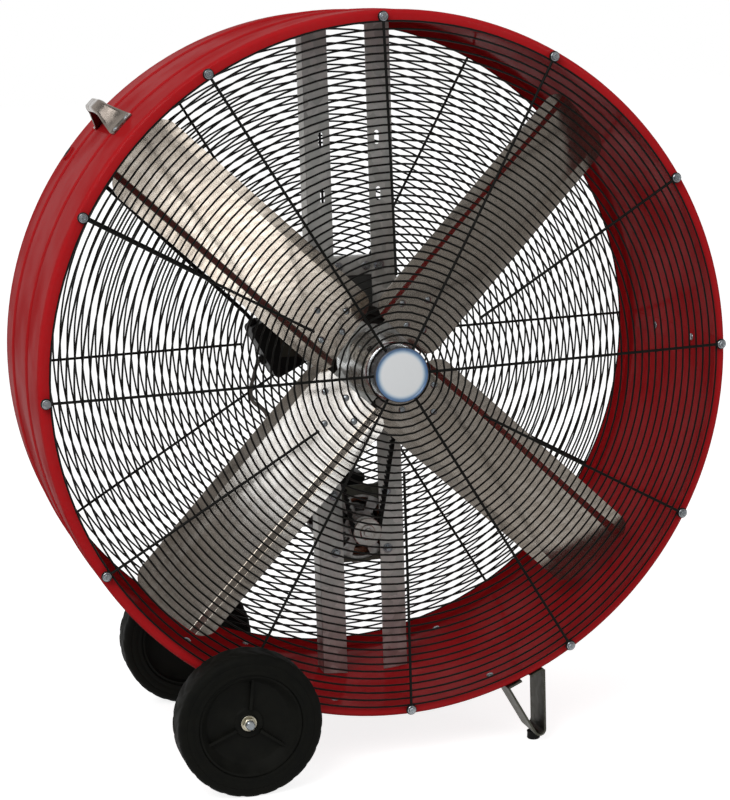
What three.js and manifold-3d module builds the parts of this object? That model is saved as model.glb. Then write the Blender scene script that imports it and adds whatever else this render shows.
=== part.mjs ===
// A belt-drive drum fan, in millimetres, +Z up. The air blows out of the front, towards -Y.
// The origin is on the floor, under the drum's axis and half way along its depth.

import * as THREE from 'three';
import { mergeVertices } from 'three/addons/utils/BufferGeometryUtils.js';
import Module from 'manifold-3d';

const wasm = await Module();
wasm.setup();

// ---------------------------------------------------------------- driving dimensions
const CLEARANCE = 0.3; // air left between two pieces that touch

// Drum: one rolled sheet, its two edges turned in as rims.
const DRUM_RADIUS = 622;
const DRUM_DEPTH = 450;
const DRUM_SHEET = 3;
const DRUM_SIDES = 48;
const FLOOR_GAP = 86; // from the floor up to the drum
const DRUM_AXIS_HEIGHT = DRUM_RADIUS + FLOOR_GAP;
const RIM_WIDTH = 20;
const RIM_CORNER = 8;
const BEAD_HEIGHT = 2.5;
const BEAD_WIDTH = 9;
const FRONT_BEAD_SETBACK = 148;
const REAR_BEAD_SETBACK = 110;

// Wire guards.
const RING_WIRE = 3.6;
const SPOKE_WIRE = 5;
const FRONT_STANDOFF = 4;
const FRONT_DOME = 16;
const REAR_DOME = 4;
const GUARD_TURN_DEG = 0.7;
const INNER_RING_RADIUS = 70;
const RING_COUNT = 6;
const RING_STEPS = 24;
const SPOKE_COUNT = 12;
const LONG_SPOKE_END = 40;
const SHORT_SPOKE_OVERRUN = 4.4; // how far a short spoke runs inwards past the ring that it ends on
const BOLT_SETBACK = 12;
const BOLT_CIRCLE = DRUM_RADIUS - BOLT_SETBACK;
const EYE_RADIUS = 10;
const EYE_BORE = 5.4;
const BADGE_RADIUS = 48.5;
const BADGE_THICKNESS = 8;

// Guard bolts.
const BOLT_SHANK_RADIUS = 4;
const BOLT_FLANGE_RADIUS = 7.8;
const BOLT_FLANGE_THICKNESS = 1.6;
const BOLT_HEX_RADIUS = 6;
const BOLT_HEX_HEIGHT = 5;

// Posts, the two upright angles that carry the drive.
const POST_WIDTH = 46;
const POST_FLANGE = 46;
const POST_SHEET = 3;
const POST_GAP = 72;
const POST_FACE_Y = 40;

// Cross angles between the posts.
const CROSS_HEIGHT = 35;
const CROSS_FLANGE = 30;
const CROSS_SHEET = 3;
const UPPER_CROSS_TOP = 175;
const LOWER_CROSS_BOTTOM = -160;

// Shaft, bearings and hub.
const SHAFT_RADIUS = 15;
const SHAFT_BACK_Y = 176;
const BEARING_RADIUS = 26;
const BEARING_WIDTH = 15;
const HOUSING_WALL = 8;
const HOUSING_LENGTH = 110;
const HOUSING_PLATE_SHEET = 4;
const HUB_SETBACK = 10;
const HUB_FRONT_Y = HUB_SETBACK - DRUM_DEPTH / 2;
const HUB_FRONT_RADIUS = 52;
const HUB_BACK_RADIUS = 64;
const HUB_SHEET = 4;
const HUB_BOSS_RADIUS = 26;
const HUB_BACK_Y = -62;
const ARM_LENGTH = 168;
const ARM_HALF_WIDTH = 40;
const ARM_SHEET = 4;

// Blades, flat plates with a joggled trailing edge, riveted to the hub's arms.
const BLADE_COUNT = 4;
const BLADE_ANGLE_DEG = 46.4;
const TIP_GAP = 36; // between a blade's tip and the drum's wall
const BLADE_TIP_RADIUS = DRUM_RADIUS - DRUM_SHEET - TIP_GAP;
const BLADE_ROOT_RADIUS = 66;
const BLADE_HALF_WIDTH = 82;
const BLADE_SHEET = 2.5;
const BLADE_MID_Y = -98;
const BLADE_SLOPE = 0.335;
const BLADE_JOGGLE_AT = 49;
const BLADE_JOGGLE_WIDTH = 11;
const BLADE_JOGGLE_DEPTH = 7;
const BLADE_CREASE_AT = 62;
const BLADE_CREASE_DROP = 3;
const BLADE_TIP_CORNER = 28;
const BLADE_ROOT_CORNER = 30;

// Belt drive.
const PULLEY_RADIUS = 90;
const MOTOR_PULLEY_RADIUS = 27;
const PULLEY_WIDTH = 20;
const PULLEY_MID_Y = 5;
const PULLEY_WEB_CUT = 6;
const GROOVE_DEPTH = 10.5;
const BELT_WIDTH = 9;
const BELT_HEIGHT = 8;
const GROOVE_SIDE_GAP = 0.4;
const GROOVE_FLARE = 2;
const DRIVE_DISTANCE = 336;

// Motor.
const MOTOR_RADIUS = 70;
const MOTOR_WALL = 4;
const MOTOR_SHELL_LENGTH = 122;
const MOTOR_BELL_DEPTH = 14;
const MOTOR_SHAFT_RADIUS = 8;
const MOTOR_WINDOW_INNER = 30;
const MOTOR_WINDOW_OUTER = 57;
const MOTOR_WINDOW_COUNT = 6;
const WINDING_INNER = 44;
const WINDING_LENGTH = 20;
const STATOR_LENGTH = 70;
const ROTOR_RADIUS = 40;
const MOTOR_PLATE_SHEET = 4;
const MOTOR_PLATE_TOP = -255;
const MOTOR_PLATE_BOTTOM = -402;
const MOTOR_PLATE_BORE = 62;
const CAPACITOR_LENGTH = 80;
const CAPACITOR_HALF_WIDTH = 22;
const CAPACITOR_HEIGHT = 26;

// Switch box inside the rear guard, hung on a bracket from the left post, and its leads.
const BOX_X = -115;
const BOX_Z = 4;
const BOX_TILT_DEG = 26;
const BOX_WIDTH = 75;
const BOX_HEIGHT = 110;
const BOX_DEPTH = 60;
const BOX_SETBACK = 70;
const BOX_FRONT_Y = DRUM_DEPTH / 2 - BOX_SETBACK;
const BOX_CORNER = 7;
const BOX_WALL = 3;
const BOX_COVER_SHEET = 2.5;
const BOX_BRACKET_HALF_HEIGHT = 24;
const BOX_BRACKET_REACH = 34;
const BOX_BRACKET_SHEET = 3;
const KNOB_RADIUS = 14;
const KNOB_HEIGHT = 15;
const KNOB_STEM_RADIUS = 3.5;
const KNOB_STANDOFF = 9;
const CABLE_RADIUS = 4;
const CABLE_BOX_OFFSET = -23;
const CABLE_SETBACK = 42;
const CABLE_Y = DRUM_DEPTH / 2 - CABLE_SETBACK;
const CABLE_WALL_ANGLE_DEG = 142.3;
const GROMMET_NECK_RADIUS = 9.7;
const GROMMET_FLANGE_RADIUS = 14;
const GROMMET_FLANGE_THICKNESS = 4;
const GROMMET_SEAT = 1.3; // a flat flange stands this far off the middle of the curved wall
const LEAD_BOX_OFFSET = -15;
const LEAD_RADIUS = 3.6;

// Wheels and their axle.
const WHEEL_RADIUS = 127;
const WHEEL_WIDTH = 67;
const WHEEL_SIDE_GAP = 21;
const WHEEL_MID_Y = DRUM_DEPTH / 2 + WHEEL_SIDE_GAP + WHEEL_WIDTH / 2;
const WHEEL_SIDES = 24;
const TYRE_SHOULDER = 11;
const RIM_RADIUS = 91;
const DISC_CONE_RADIUS = 74;
const DISC_SHEET = 8;
const DISC_RECESS = 27;
const DISC_BOSS_RADIUS = 26;
const DISC_RIB_COUNT = 3;
const DISC_RIB_THICKNESS = 5;
const DISC_RIB_HEIGHT = 9;
const DISC_RIB_TURN_DEG = 83;
const AXLE_X = -301;
const AXLE_RADIUS = 8;
const AXLE_NUT_RADIUS = 11;
const AXLE_NUT_HEIGHT = 9;
const AXLE_WASHER_RADIUS = 14;
const AXLE_WASHER_THICKNESS = 2;
const AXLE_STUB = 7;
const BRACKET_SETBACK = 60;
const BRACKET_Y = DRUM_DEPTH / 2 - BRACKET_SETBACK;
const BRACKET_WIDTH = 44;
const BRACKET_HALF_FOOT = 58;
const BRACKET_SHEET = 4;
const BRACKET_CROWN = 17;

// Legs: a strap bent into a V over each rubber foot.
const LEG_WIDTH = 75;
const LEG_SHEET = 4;
const LEG_X = 264;
const LEG_BEND_RADIUS = 10;
const LEG_SLANT_DEG = 28.8;
const LEG_TAB = 26;
const FOOT_RADIUS = 12;
const FOOT_HEIGHT = 15;

// Handle: a pressed strap arched over the drum's upper left side.
const HANDLE_ANGLE_DEG = 134.7;
const HANDLE_LENGTH = 224;
const HANDLE_RISE = 50;
const HANDLE_SHEET = 3;
const HANDLE_FOOT_HALF_WIDTH = 23.5;
const HANDLE_GRIP_HALF_WIDTH = 12.5;
const HANDLE_FOOT_LENGTH = 26;
const HANDLE_RAMP_LENGTH = 52;
const HANDLE_SKIRT = 7;

// ---------------------------------------------------------------- materials
const paint = (color, roughness, metalness) => new THREE.MeshStandardMaterial({ color, roughness, metalness });
const RED_PAINT = paint(0xb5161e, 0.35, 0.1);
const BLACK_WIRE = paint(0x14140f, 0.45, 0.3);
const GALVANISED = paint(0x8d918f, 0.5, 0.8);
const ALUMINIUM = paint(0xc4c6c6, 0.35, 0.9);
const BRIGHT_STEEL = paint(0xb9bcbd, 0.3, 0.9);
const DARK_STEEL = paint(0x3a3a3a, 0.5, 0.6);
const RUBBER = paint(0x1b1b19, 0.85, 0);
const BLACK_PLASTIC = paint(0x22221f, 0.55, 0);
const COPPER = paint(0x8a4a2a, 0.45, 0.7);
const GREY_CABLE = paint(0x77756f, 0.6, 0);
const BADGE_WHITE = paint(0xd9d9d6, 0.4, 0);

// ---------------------------------------------------------------- geometry helpers
const radians = (degrees) => degrees * Math.PI / 180;

/** Keeps the corners and faces of a geometry, and nothing that would keep its corners apart. */
function bare(geometry) {
  geometry.deleteAttribute('normal');
  geometry.deleteAttribute('uv');
  return mergeVertices(geometry, 1e-4);
}

/** A closed geometry as a solid for cutting and joining, turned the right way out. */
function toSolid(geometry) {
  const merged = bare(geometry);
  const corners = Float32Array.from(merged.attributes.position.array);
  const faces = Uint32Array.from(merged.index.array);
  if (signedVolume(corners, faces) < 0) {
    for (let i = 0; i < faces.length; i += 3) {
      [faces[i], faces[i + 1]] = [faces[i + 1], faces[i]];
    }
  }
  return new wasm.Manifold(new wasm.Mesh({ numProp: 3, vertProperties: corners, triVerts: faces }));
}

/** Six times the volume that a triangle mesh encloses, negative when it is inside out. */
function signedVolume(corners, faces) {
  let sum = 0;
  const at = (i) => new THREE.Vector3().fromArray(corners, 3 * i);
  for (let i = 0; i < faces.length; i += 3) {
    sum += at(faces[i]).dot(at(faces[i + 1]).cross(at(faces[i + 2])));
  }
  return sum;
}

/** A solid back as a geometry. */
function toGeometry(solid) {
  const mesh = solid.getMesh();
  const geometry = new THREE.BufferGeometry();
  geometry.setAttribute('position', new THREE.BufferAttribute(Float32Array.from(mesh.vertProperties), 3));
  geometry.setIndex(new THREE.BufferAttribute(Uint32Array.from(mesh.triVerts), 1));
  geometry.computeVertexNormals();
  return geometry;
}

const join = (solids) => solids.reduce((all, solid) => all.add(solid));

/** A shape of (x, z) points run along Y from y0 to y1. */
function alongY(shape, y0, y1, curveSegments = 8) {
  const geometry = new THREE.ExtrudeGeometry(shape, { depth: y1 - y0, bevelEnabled: false, curveSegments });
  return geometry.rotateX(Math.PI / 2).translate(0, y1, 0);
}

/** A shape of (y, z) points run along X from x0 to x1. */
function alongX(shape, x0, x1) {
  const geometry = new THREE.ExtrudeGeometry(shape, { depth: x1 - x0, bevelEnabled: false, curveSegments: 6 });
  return geometry.rotateY(Math.PI / 2).rotateX(Math.PI / 2).translate(x0, 0, 0);
}

const outline = (points) => new THREE.Shape(points.map(([a, b]) => new THREE.Vector2(a, b)));

/** A profile of [radius, y] points turned round the Y axis. */
function turned(profile, sides) {
  return new THREE.LatheGeometry(profile.map(([r, y]) => new THREE.Vector2(r, y)), sides);
}

/** A profile that encloses a ring: its last point goes back to its first. */
const ringProfile = (points) => [...points, points[0]];

/** A solid disc or rod of one radius along Y. */
const rod = (radius, y0, y1, sides) => turned([[0, y0], [radius, y0], [radius, y1], [0, y1]], sides);

/** A tube or washer along Y. */
const sleeve = (inner, outer, y0, y1, sides) =>
  turned(ringProfile([[inner, y0], [outer, y0], [outer, y1], [inner, y1]]), sides);

/** A round section run along a curve. */
function wire(curve, radius, sides, steps) {
  const section = new THREE.Shape();
  for (let i = 0; i < sides; i += 1) {
    const angle = 2 * Math.PI * i / sides;
    section[i ? 'lineTo' : 'moveTo'](radius * Math.cos(angle), radius * Math.sin(angle));
  }
  return new THREE.ExtrudeGeometry(section, { steps, bevelEnabled: false, extrudePath: curve });
}

/** A point on a circle round the drum's axis, at an angle from +X towards +Z. */
const polar = (radius, angle) => [radius * Math.cos(angle), radius * Math.sin(angle)];

/** A flat circle of points, as used for the drum's own facets. */
function facetCircle(radius, sides = DRUM_SIDES) {
  return outline(Array.from({ length: sides }, (_, i) => polar(radius, 2 * Math.PI * i / sides)));
}

const group = new THREE.Group();
const axisGroup = new THREE.Group();
axisGroup.position.z = DRUM_AXIS_HEIGHT;
group.add(axisGroup);

/** Puts a named mesh into a group; a solid becomes a geometry first. */
function put(name, shape, material, parent = axisGroup, place = [0, 0, 0]) {
  let geometry = shape;
  if (!shape.isBufferGeometry) geometry = toGeometry(shape);
  const mesh = new THREE.Mesh(geometry, material);
  mesh.name = name;
  mesh.position.set(...place);
  parent.add(mesh);
  return mesh;
}

// ---------------------------------------------------------------- derived planes
const FRONT_Y = -DRUM_DEPTH / 2;
const REAR_Y = DRUM_DEPTH / 2;
const WALL_INNER = DRUM_RADIUS - DRUM_SHEET;
const RIM_INNER = DRUM_RADIUS - RIM_WIDTH;
const RING_PITCH = (RIM_INNER - INNER_RING_RADIUS) / (RING_COUNT - 1);
const SHORT_SPOKE_END = INNER_RING_RADIUS + RING_PITCH - SHORT_SPOKE_OVERRUN;
const WIRE_BITE = 0.8; // how far a spoke sinks into the rings it is welded to
const POST_INNER_X = POST_GAP / 2;
const POST_OUTER_X = POST_INNER_X + POST_WIDTH;
const CROSS_HALF = POST_OUTER_X - POST_SHEET - CLEARANCE;
const CROSS_Y = POST_FACE_Y + POST_SHEET + CLEARANCE;
const HOUSING_Y = CROSS_Y + CROSS_SHEET + CLEARANCE;

/** How far a guard stands out beyond its rim plane, at a radius. */
const dome = (radius, side) => (side < 0 ? FRONT_DOME : REAR_DOME) * (1 - (radius / BOLT_CIRCLE) ** 2);

/** How far beyond its rim the middle of a guard's rings lies at the rim; side is -1 in front, 1 behind. */
const ringPlane = (side) => (side < 0 ? FRONT_STANDOFF : CLEARANCE) + RING_WIRE / 2;

/** The same for the middle of its spokes, which lie outside the rings. */
const spokePlane = (side) => ringPlane(side) + (RING_WIRE + SPOKE_WIRE) / 2 - WIRE_BITE;

// ---------------------------------------------------------------- drum
/** A bead round the drum's outside, as three points of its profile. */
function beadPoints(y) {
  return [[DRUM_RADIUS, y - BEAD_WIDTH / 2], [DRUM_RADIUS + BEAD_HEIGHT, y], [DRUM_RADIUS, y + BEAD_WIDTH / 2]];
}

/** The drum's sheet: a wall with two raised beads, and a rim turned in at both edges. */
function drumShell() {
  const face = DRUM_RADIUS - RIM_CORNER;
  const inner = WALL_INNER - RIM_CORNER + DRUM_SHEET;
  return toSolid(turned(ringProfile([
    [RIM_INNER, FRONT_Y], [face, FRONT_Y], [DRUM_RADIUS, FRONT_Y + RIM_CORNER],
    ...beadPoints(FRONT_Y + FRONT_BEAD_SETBACK),
    ...beadPoints(REAR_Y - REAR_BEAD_SETBACK),
    [DRUM_RADIUS, REAR_Y - RIM_CORNER], [face, REAR_Y], [RIM_INNER, REAR_Y],
    [RIM_INNER, REAR_Y - DRUM_SHEET], [inner, REAR_Y - DRUM_SHEET], [WALL_INNER, REAR_Y - RIM_CORNER],
    [WALL_INNER, FRONT_Y + RIM_CORNER], [inner, FRONT_Y + DRUM_SHEET], [RIM_INNER, FRONT_Y + DRUM_SHEET],
  ]), DRUM_SIDES));
}

// A prism that just fits inside the drum wall, and one that is the drum and its clearance.
const drumInside = () => toSolid(alongY(facetCircle(WALL_INNER - CLEARANCE), FRONT_Y, REAR_Y));
function drumOutside() {
  const face = DRUM_RADIUS + CLEARANCE;
  const beads = [...beadPoints(FRONT_Y + FRONT_BEAD_SETBACK), ...beadPoints(REAR_Y - REAR_BEAD_SETBACK)];
  const spread = beads.map(([radius, y], i) => [radius + CLEARANCE, y + CLEARANCE * (i % 3 - 1)]);
  return toSolid(turned([[0, FRONT_Y - 1], [face, FRONT_Y - 1], ...spread, [face, REAR_Y + 1], [0, REAR_Y + 1]],
    DRUM_SIDES));
}

// ---------------------------------------------------------------- guards
/** One ring of a guard, its wire a triangle with the point away from the spokes. */
function guardRing(radius, mid, side) {
  const half = RING_WIRE / 2;
  const profile = [[radius - half, mid + side * half], [radius + half, mid + side * half], [radius, mid - side * half]];
  return toSolid(turned(ringProfile(profile), RING_STEPS));
}

/** One spoke from its inner end out to the eye round its bolt. */
function guardSpoke(angle, innerRadius, side) {
  const points = [innerRadius, (innerRadius + BOLT_CIRCLE) / 2, BOLT_CIRCLE - EYE_RADIUS + 1]
    .map((radius) => {
      const [x, z] = polar(radius, angle);
      return new THREE.Vector3(x, side * (REAR_Y + spokePlane(side) + dome(radius, side)), z);
    });
  const pieces = [];
  for (let i = 1; i < points.length; i += 1) {
    const over = points[i].clone().sub(points[i - 1]).setLength(0.6);
    const line = new THREE.LineCurve3(points[i - 1].clone(), points[i].clone().add(over));
    pieces.push(toSolid(wire(line, SPOKE_WIRE / 2, 3, 1)));
  }
  return join(pieces);
}

/** The wire eye at a spoke's end, as a flat ring round the bolt. */
function guardEye(angle, side) {
  const near = side * (REAR_Y + spokePlane(side) - SPOKE_WIRE / 2 + 0.2);
  const far = side * (REAR_Y + spokePlane(side) + SPOKE_WIRE / 2 - 0.2);
  const [x, z] = polar(BOLT_CIRCLE, angle);
  const ring = sleeve(EYE_BORE, EYE_RADIUS, Math.min(near, far), Math.max(near, far), 5);
  return toSolid(ring.translate(x, 0, z));
}

/** A whole guard. side is -1 at the front and 1 at the rear; firstShort says which spokes stop short. */
function guard(side, firstShort) {
  const pieces = [];
  for (let i = 0; i < SPOKE_COUNT; i += 1) {
    const angle = radians(GUARD_TURN_DEG + 360 * i / SPOKE_COUNT);
    const short = i % 2 === firstShort;
    pieces.push(guardSpoke(angle, short ? SHORT_SPOKE_END : LONG_SPOKE_END, side));
    pieces.push(guardEye(angle, side));
  }
  for (let i = 0; i < RING_COUNT; i += 1) {
    const radius = RIM_INNER - RING_PITCH * i;
    pieces.push(guardRing(radius, side * (REAR_Y + ringPlane(side) + dome(radius, side)), side));
  }
  const centre = REAR_Y + ringPlane(side) + dome(0, side);
  pieces.push(toSolid(sleeve(LONG_SPOKE_END - 6, LONG_SPOKE_END + 2, side > 0 ? centre : -centre - 3,
    side > 0 ? centre + 3 : -centre, 12)));
  return join(pieces);
}

function guardBadge() {
  const back = FRONT_Y - spokePlane(-1) - SPOKE_WIRE / 2 - dome(0, -1) - CLEARANCE;
  const rim = 2;
  return turned([
    [0, back - BADGE_THICKNESS], [BADGE_RADIUS - rim, back - BADGE_THICKNESS],
    [BADGE_RADIUS, back - BADGE_THICKNESS + rim], [BADGE_RADIUS, back], [0, back],
  ], 20);
}

/** A hexagon bolt with a flanged head, through a guard's eye and into the rim. */
function guardBolt() {
  const seat = FRONT_Y - spokePlane(-1) - SPOKE_WIRE / 2 + 0.2 - CLEARANCE;
  const rimFace = FRONT_Y - CLEARANCE;
  const head = turned([
    [0, seat - BOLT_FLANGE_THICKNESS - BOLT_HEX_HEIGHT],
    [BOLT_HEX_RADIUS, seat - BOLT_FLANGE_THICKNESS - BOLT_HEX_HEIGHT],
    [BOLT_HEX_RADIUS, seat - BOLT_FLANGE_THICKNESS], [BOLT_FLANGE_RADIUS, seat - BOLT_FLANGE_THICKNESS],
    [BOLT_FLANGE_RADIUS, seat], [BOLT_SHANK_RADIUS, seat], [BOLT_SHANK_RADIUS, rimFace], [0, rimFace],
  ], 6);
  return head;
}

// ---------------------------------------------------------------- posts and cross angles
/** One upright angle: a face towards the front and a flange that runs back from its outer edge. */
function post(side) {
  const inner = POST_INNER_X;
  const outer = POST_OUTER_X;
  const flangeBack = POST_FACE_Y + POST_FLANGE;
  const reach = DRUM_RADIUS;
  const section = outline([
    [side * inner, POST_FACE_Y], [side * outer, POST_FACE_Y], [side * outer, flangeBack],
    [side * (outer - POST_SHEET), flangeBack], [side * (outer - POST_SHEET), POST_FACE_Y + POST_SHEET],
    [side * inner, POST_FACE_Y + POST_SHEET],
  ]);
  const bar = new THREE.ExtrudeGeometry(section, { depth: 2 * reach, bevelEnabled: false });
  return toSolid(bar.translate(0, 0, -reach)).intersect(drumInside());
}

/** A cross angle between the posts, web to the front; its flange is at flangeZ. */
function crossAngle(bottom, flangeAtTop) {
  const top = bottom + CROSS_HEIGHT;
  const back = CROSS_Y + CROSS_FLANGE;
  const web = CROSS_Y + CROSS_SHEET;
  const upper = [[CROSS_Y, bottom], [web, bottom], [web, top - CROSS_SHEET], [back, top - CROSS_SHEET],
    [back, top], [CROSS_Y, top]];
  const lower = [[CROSS_Y, bottom], [back, bottom], [back, bottom + CROSS_SHEET], [web, bottom + CROSS_SHEET],
    [web, top], [CROSS_Y, top]];
  return toSolid(alongX(outline(flangeAtTop ? upper : lower), -CROSS_HALF, CROSS_HALF));
}

/** The bearing housing: a plate bolted behind both cross angles, with the bearings' tube welded on. */
function bearingHousing() {
  const top = UPPER_CROSS_TOP - CROSS_SHEET - CLEARANCE;
  const bottom = LOWER_CROSS_BOTTOM + CROSS_SHEET + CLEARANCE;
  const half = CROSS_HALF - 1;
  const outer = BEARING_RADIUS + HOUSING_WALL;
  const plate = outline([[-half, bottom], [half, bottom], [half, top], [-half, top]]);
  plate.holes.push(facetCircle(outer - 1, 16));
  const tube = sleeve(BEARING_RADIUS + CLEARANCE, outer, HOUSING_Y, HOUSING_Y + HOUSING_LENGTH, 16);
  return toSolid(alongY(plate, HOUSING_Y, HOUSING_Y + HOUSING_PLATE_SHEET)).add(toSolid(tube));
}

const bearing = (y0) => sleeve(SHAFT_RADIUS + CLEARANCE, BEARING_RADIUS, y0, y0 + BEARING_WIDTH, 16);

// ---------------------------------------------------------------- shaft, hub and blades
const fanShaft = () => rod(SHAFT_RADIUS, HUB_FRONT_Y + HUB_SHEET + 12, SHAFT_BACK_Y, 16);

/** The angle of a blade's own centre line. */
const bladeAngle = (i) => radians(BLADE_ANGLE_DEG + 360 * i / BLADE_COUNT);

/** Lays a piece made along +X, with its width along +Z, out along a blade's centre line. */
const turnToBlade = (geometry, i) => geometry.rotateY(-bladeAngle(i));

/** The hub: a spun cup round a boss, with a pitched arm behind the root of each blade. */
function fanHub() {
  const cup = toSolid(turned([
    [0, HUB_FRONT_Y], [HUB_FRONT_RADIUS - 6, HUB_FRONT_Y], [HUB_FRONT_RADIUS, HUB_FRONT_Y + 6],
    [HUB_BACK_RADIUS, HUB_BACK_Y], [0, HUB_BACK_Y],
  ], 20));
  const hollow = toSolid(turned(ringProfile([
    [HUB_BOSS_RADIUS, HUB_FRONT_Y + HUB_SHEET], [HUB_FRONT_RADIUS - HUB_SHEET - 2, HUB_FRONT_Y + HUB_SHEET],
    [HUB_BACK_RADIUS - HUB_SHEET, HUB_BACK_Y + 1], [HUB_BOSS_RADIUS, HUB_BACK_Y + 1],
  ]), 20));
  const arms = Array.from({ length: BLADE_COUNT }, (_, i) => toSolid(turnToBlade(hubArm(), i)));
  const bore = toSolid(rod(SHAFT_RADIUS + CLEARANCE, HUB_FRONT_Y + HUB_SHEET + 12 - CLEARANCE, HUB_BACK_Y + 20, 16));
  return join([cup.subtract(hollow), ...arms]).subtract(bore);
}

/** How deep the back of a blade's main plate lies at a sideways offset from its centre line. */
const bladeBack = (offset) => BLADE_MID_Y - BLADE_SLOPE * offset + BLADE_SHEET / 2;

/** One arm of the hub, a pitched plate that a blade is riveted to. */
function hubArm() {
  const front = (offset) => bladeBack(offset) + CLEARANCE;
  const section = outline([
    [front(-ARM_HALF_WIDTH), -ARM_HALF_WIDTH], [front(ARM_HALF_WIDTH), ARM_HALF_WIDTH],
    [front(ARM_HALF_WIDTH) + ARM_SHEET, ARM_HALF_WIDTH], [front(-ARM_HALF_WIDTH) + ARM_SHEET, -ARM_HALF_WIDTH],
  ]);
  return alongX(section, HUB_BOSS_RADIUS - 4, ARM_LENGTH);
}

/** A plate outline with rounded tip and root, seen along Y: x runs out, z across. */
function bladeOutline() {
  const half = BLADE_HALF_WIDTH;
  const tip = BLADE_TIP_RADIUS;
  const root = BLADE_ROOT_RADIUS;
  const tipRound = BLADE_TIP_CORNER;
  const rootRound = BLADE_ROOT_CORNER;
  const crown = tip - Math.sqrt(tip * tip - half * half);
  const shape = new THREE.Shape();
  shape.moveTo(root + rootRound, -half);
  shape.lineTo(tip - crown - tipRound, -half);
  shape.quadraticCurveTo(tip - crown, -half, tip - crown / 2, -half + tipRound);
  shape.quadraticCurveTo(tip + crown / 4, 0, tip - crown / 2, half - tipRound);
  shape.quadraticCurveTo(tip - crown, half, tip - crown - tipRound, half);
  shape.lineTo(root + rootRound, half);
  shape.quadraticCurveTo(root, half, root, half - rootRound);
  shape.lineTo(root, -half + rootRound);
  shape.quadraticCurveTo(root, -half, root + rootRound, -half);
  return shape;
}

/** The blade's bent sheet: [offset, y] corners of its front, from the leading to the trailing edge. */
function bladeFront() {
  const main = (offset) => BLADE_MID_Y - BLADE_SLOPE * offset - BLADE_SHEET / 2;
  const lead = -BLADE_HALF_WIDTH - 2;
  const trail = BLADE_HALF_WIDTH + 2;
  const stepEnd = BLADE_JOGGLE_AT + BLADE_JOGGLE_WIDTH;
  return [
    [lead, main(lead) - BLADE_CREASE_DROP],
    [-BLADE_CREASE_AT, main(-BLADE_CREASE_AT)],
    [BLADE_JOGGLE_AT, main(BLADE_JOGGLE_AT)],
    [stepEnd, main(stepEnd) - BLADE_JOGGLE_DEPTH],
    [trail, main(trail) - BLADE_JOGGLE_DEPTH],
  ];
}

function blade(i) {
  const front = bladeFront();
  const section = outline([
    ...front.map(([offset, y]) => [y, offset]),
    ...front.map(([offset, y]) => [y + BLADE_SHEET, offset]).reverse(),
  ]);
  const sheet = toSolid(alongX(section, BLADE_ROOT_RADIUS - 1, BLADE_TIP_RADIUS + 10));
  const plan = toSolid(alongY(bladeOutline(), -DRUM_DEPTH, DRUM_DEPTH, 4));
  return toSolid(turnToBlade(toGeometry(sheet.intersect(plan)), i));
}

// ---------------------------------------------------------------- belt drive
/** A grooved pulley on a bore; web is how far its faces are cut back between hub and rim, or 0. */
function pulley(radius, bore, web, sides) {
  const half = PULLEY_WIDTH / 2;
  const floor = BELT_WIDTH / 2 + GROOVE_SIDE_GAP;
  const hub = bore + 10;
  const rim = radius - GROOVE_DEPTH - 5;
  const cut = (side) => (web ? [[hub, side * half], [hub, side * (half - web)], [rim, side * (half - web)],
    [rim, side * half]] : []);
  return turned(ringProfile([
    [bore, -half], ...cut(-1), [radius, -half], [radius, -floor - GROOVE_FLARE],
    [radius - GROOVE_DEPTH, -floor], [radius - GROOVE_DEPTH, floor], [radius, floor + GROOVE_FLARE],
    [radius, half], ...cut(1).reverse(), [bore, half],
  ]), sides).translate(0, PULLEY_MID_Y, 0);
}

/** The loop that a belt follows round both pulleys, with its arcs at the given radii. */
function beltLoop(upperRadius, lowerRadius, Kind) {
  const lean = Math.asin((upperRadius - lowerRadius) / DRIVE_DISTANCE);
  const loop = new Kind();
  loop.absarc(0, 0, upperRadius, -lean, Math.PI + lean, false);
  loop.absarc(0, -DRIVE_DISTANCE, lowerRadius, Math.PI + lean, 2 * Math.PI - lean, false);
  loop.closePath();
  return loop;
}

function driveBelt() {
  const loop = beltLoop(PULLEY_RADIUS, MOTOR_PULLEY_RADIUS, THREE.Shape);
  loop.holes.push(beltLoop(PULLEY_RADIUS - BELT_HEIGHT, MOTOR_PULLEY_RADIUS - BELT_HEIGHT, THREE.Path));
  return alongY(loop, PULLEY_MID_Y - BELT_WIDTH / 2, PULLEY_MID_Y + BELT_WIDTH / 2, 10);
}

// ---------------------------------------------------------------- motor
const MOTOR_PLATE_Y = CROSS_Y;
const BELL_Y = MOTOR_PLATE_Y + MOTOR_PLATE_SHEET + CLEARANCE;
const SHELL_Y = BELL_Y + MOTOR_BELL_DEPTH + CLEARANCE;
const REAR_BELL_Y = SHELL_Y + MOTOR_SHELL_LENGTH + CLEARANCE;
const STATOR_Y = SHELL_Y + (MOTOR_SHELL_LENGTH - STATOR_LENGTH) / 2;

function motorPlate() {
  const half = CROSS_HALF;
  const shape = outline([[-half, MOTOR_PLATE_BOTTOM], [half, MOTOR_PLATE_BOTTOM],
    [half, MOTOR_PLATE_TOP], [-half, MOTOR_PLATE_TOP]]);
  const hole = new THREE.Path();
  hole.absarc(0, -DRIVE_DISTANCE, MOTOR_PLATE_BORE, 0, 2 * Math.PI, false);
  shape.holes.push(hole);
  return alongY(shape, MOTOR_PLATE_Y, MOTOR_PLATE_Y + MOTOR_PLATE_SHEET, 12);
}

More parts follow.
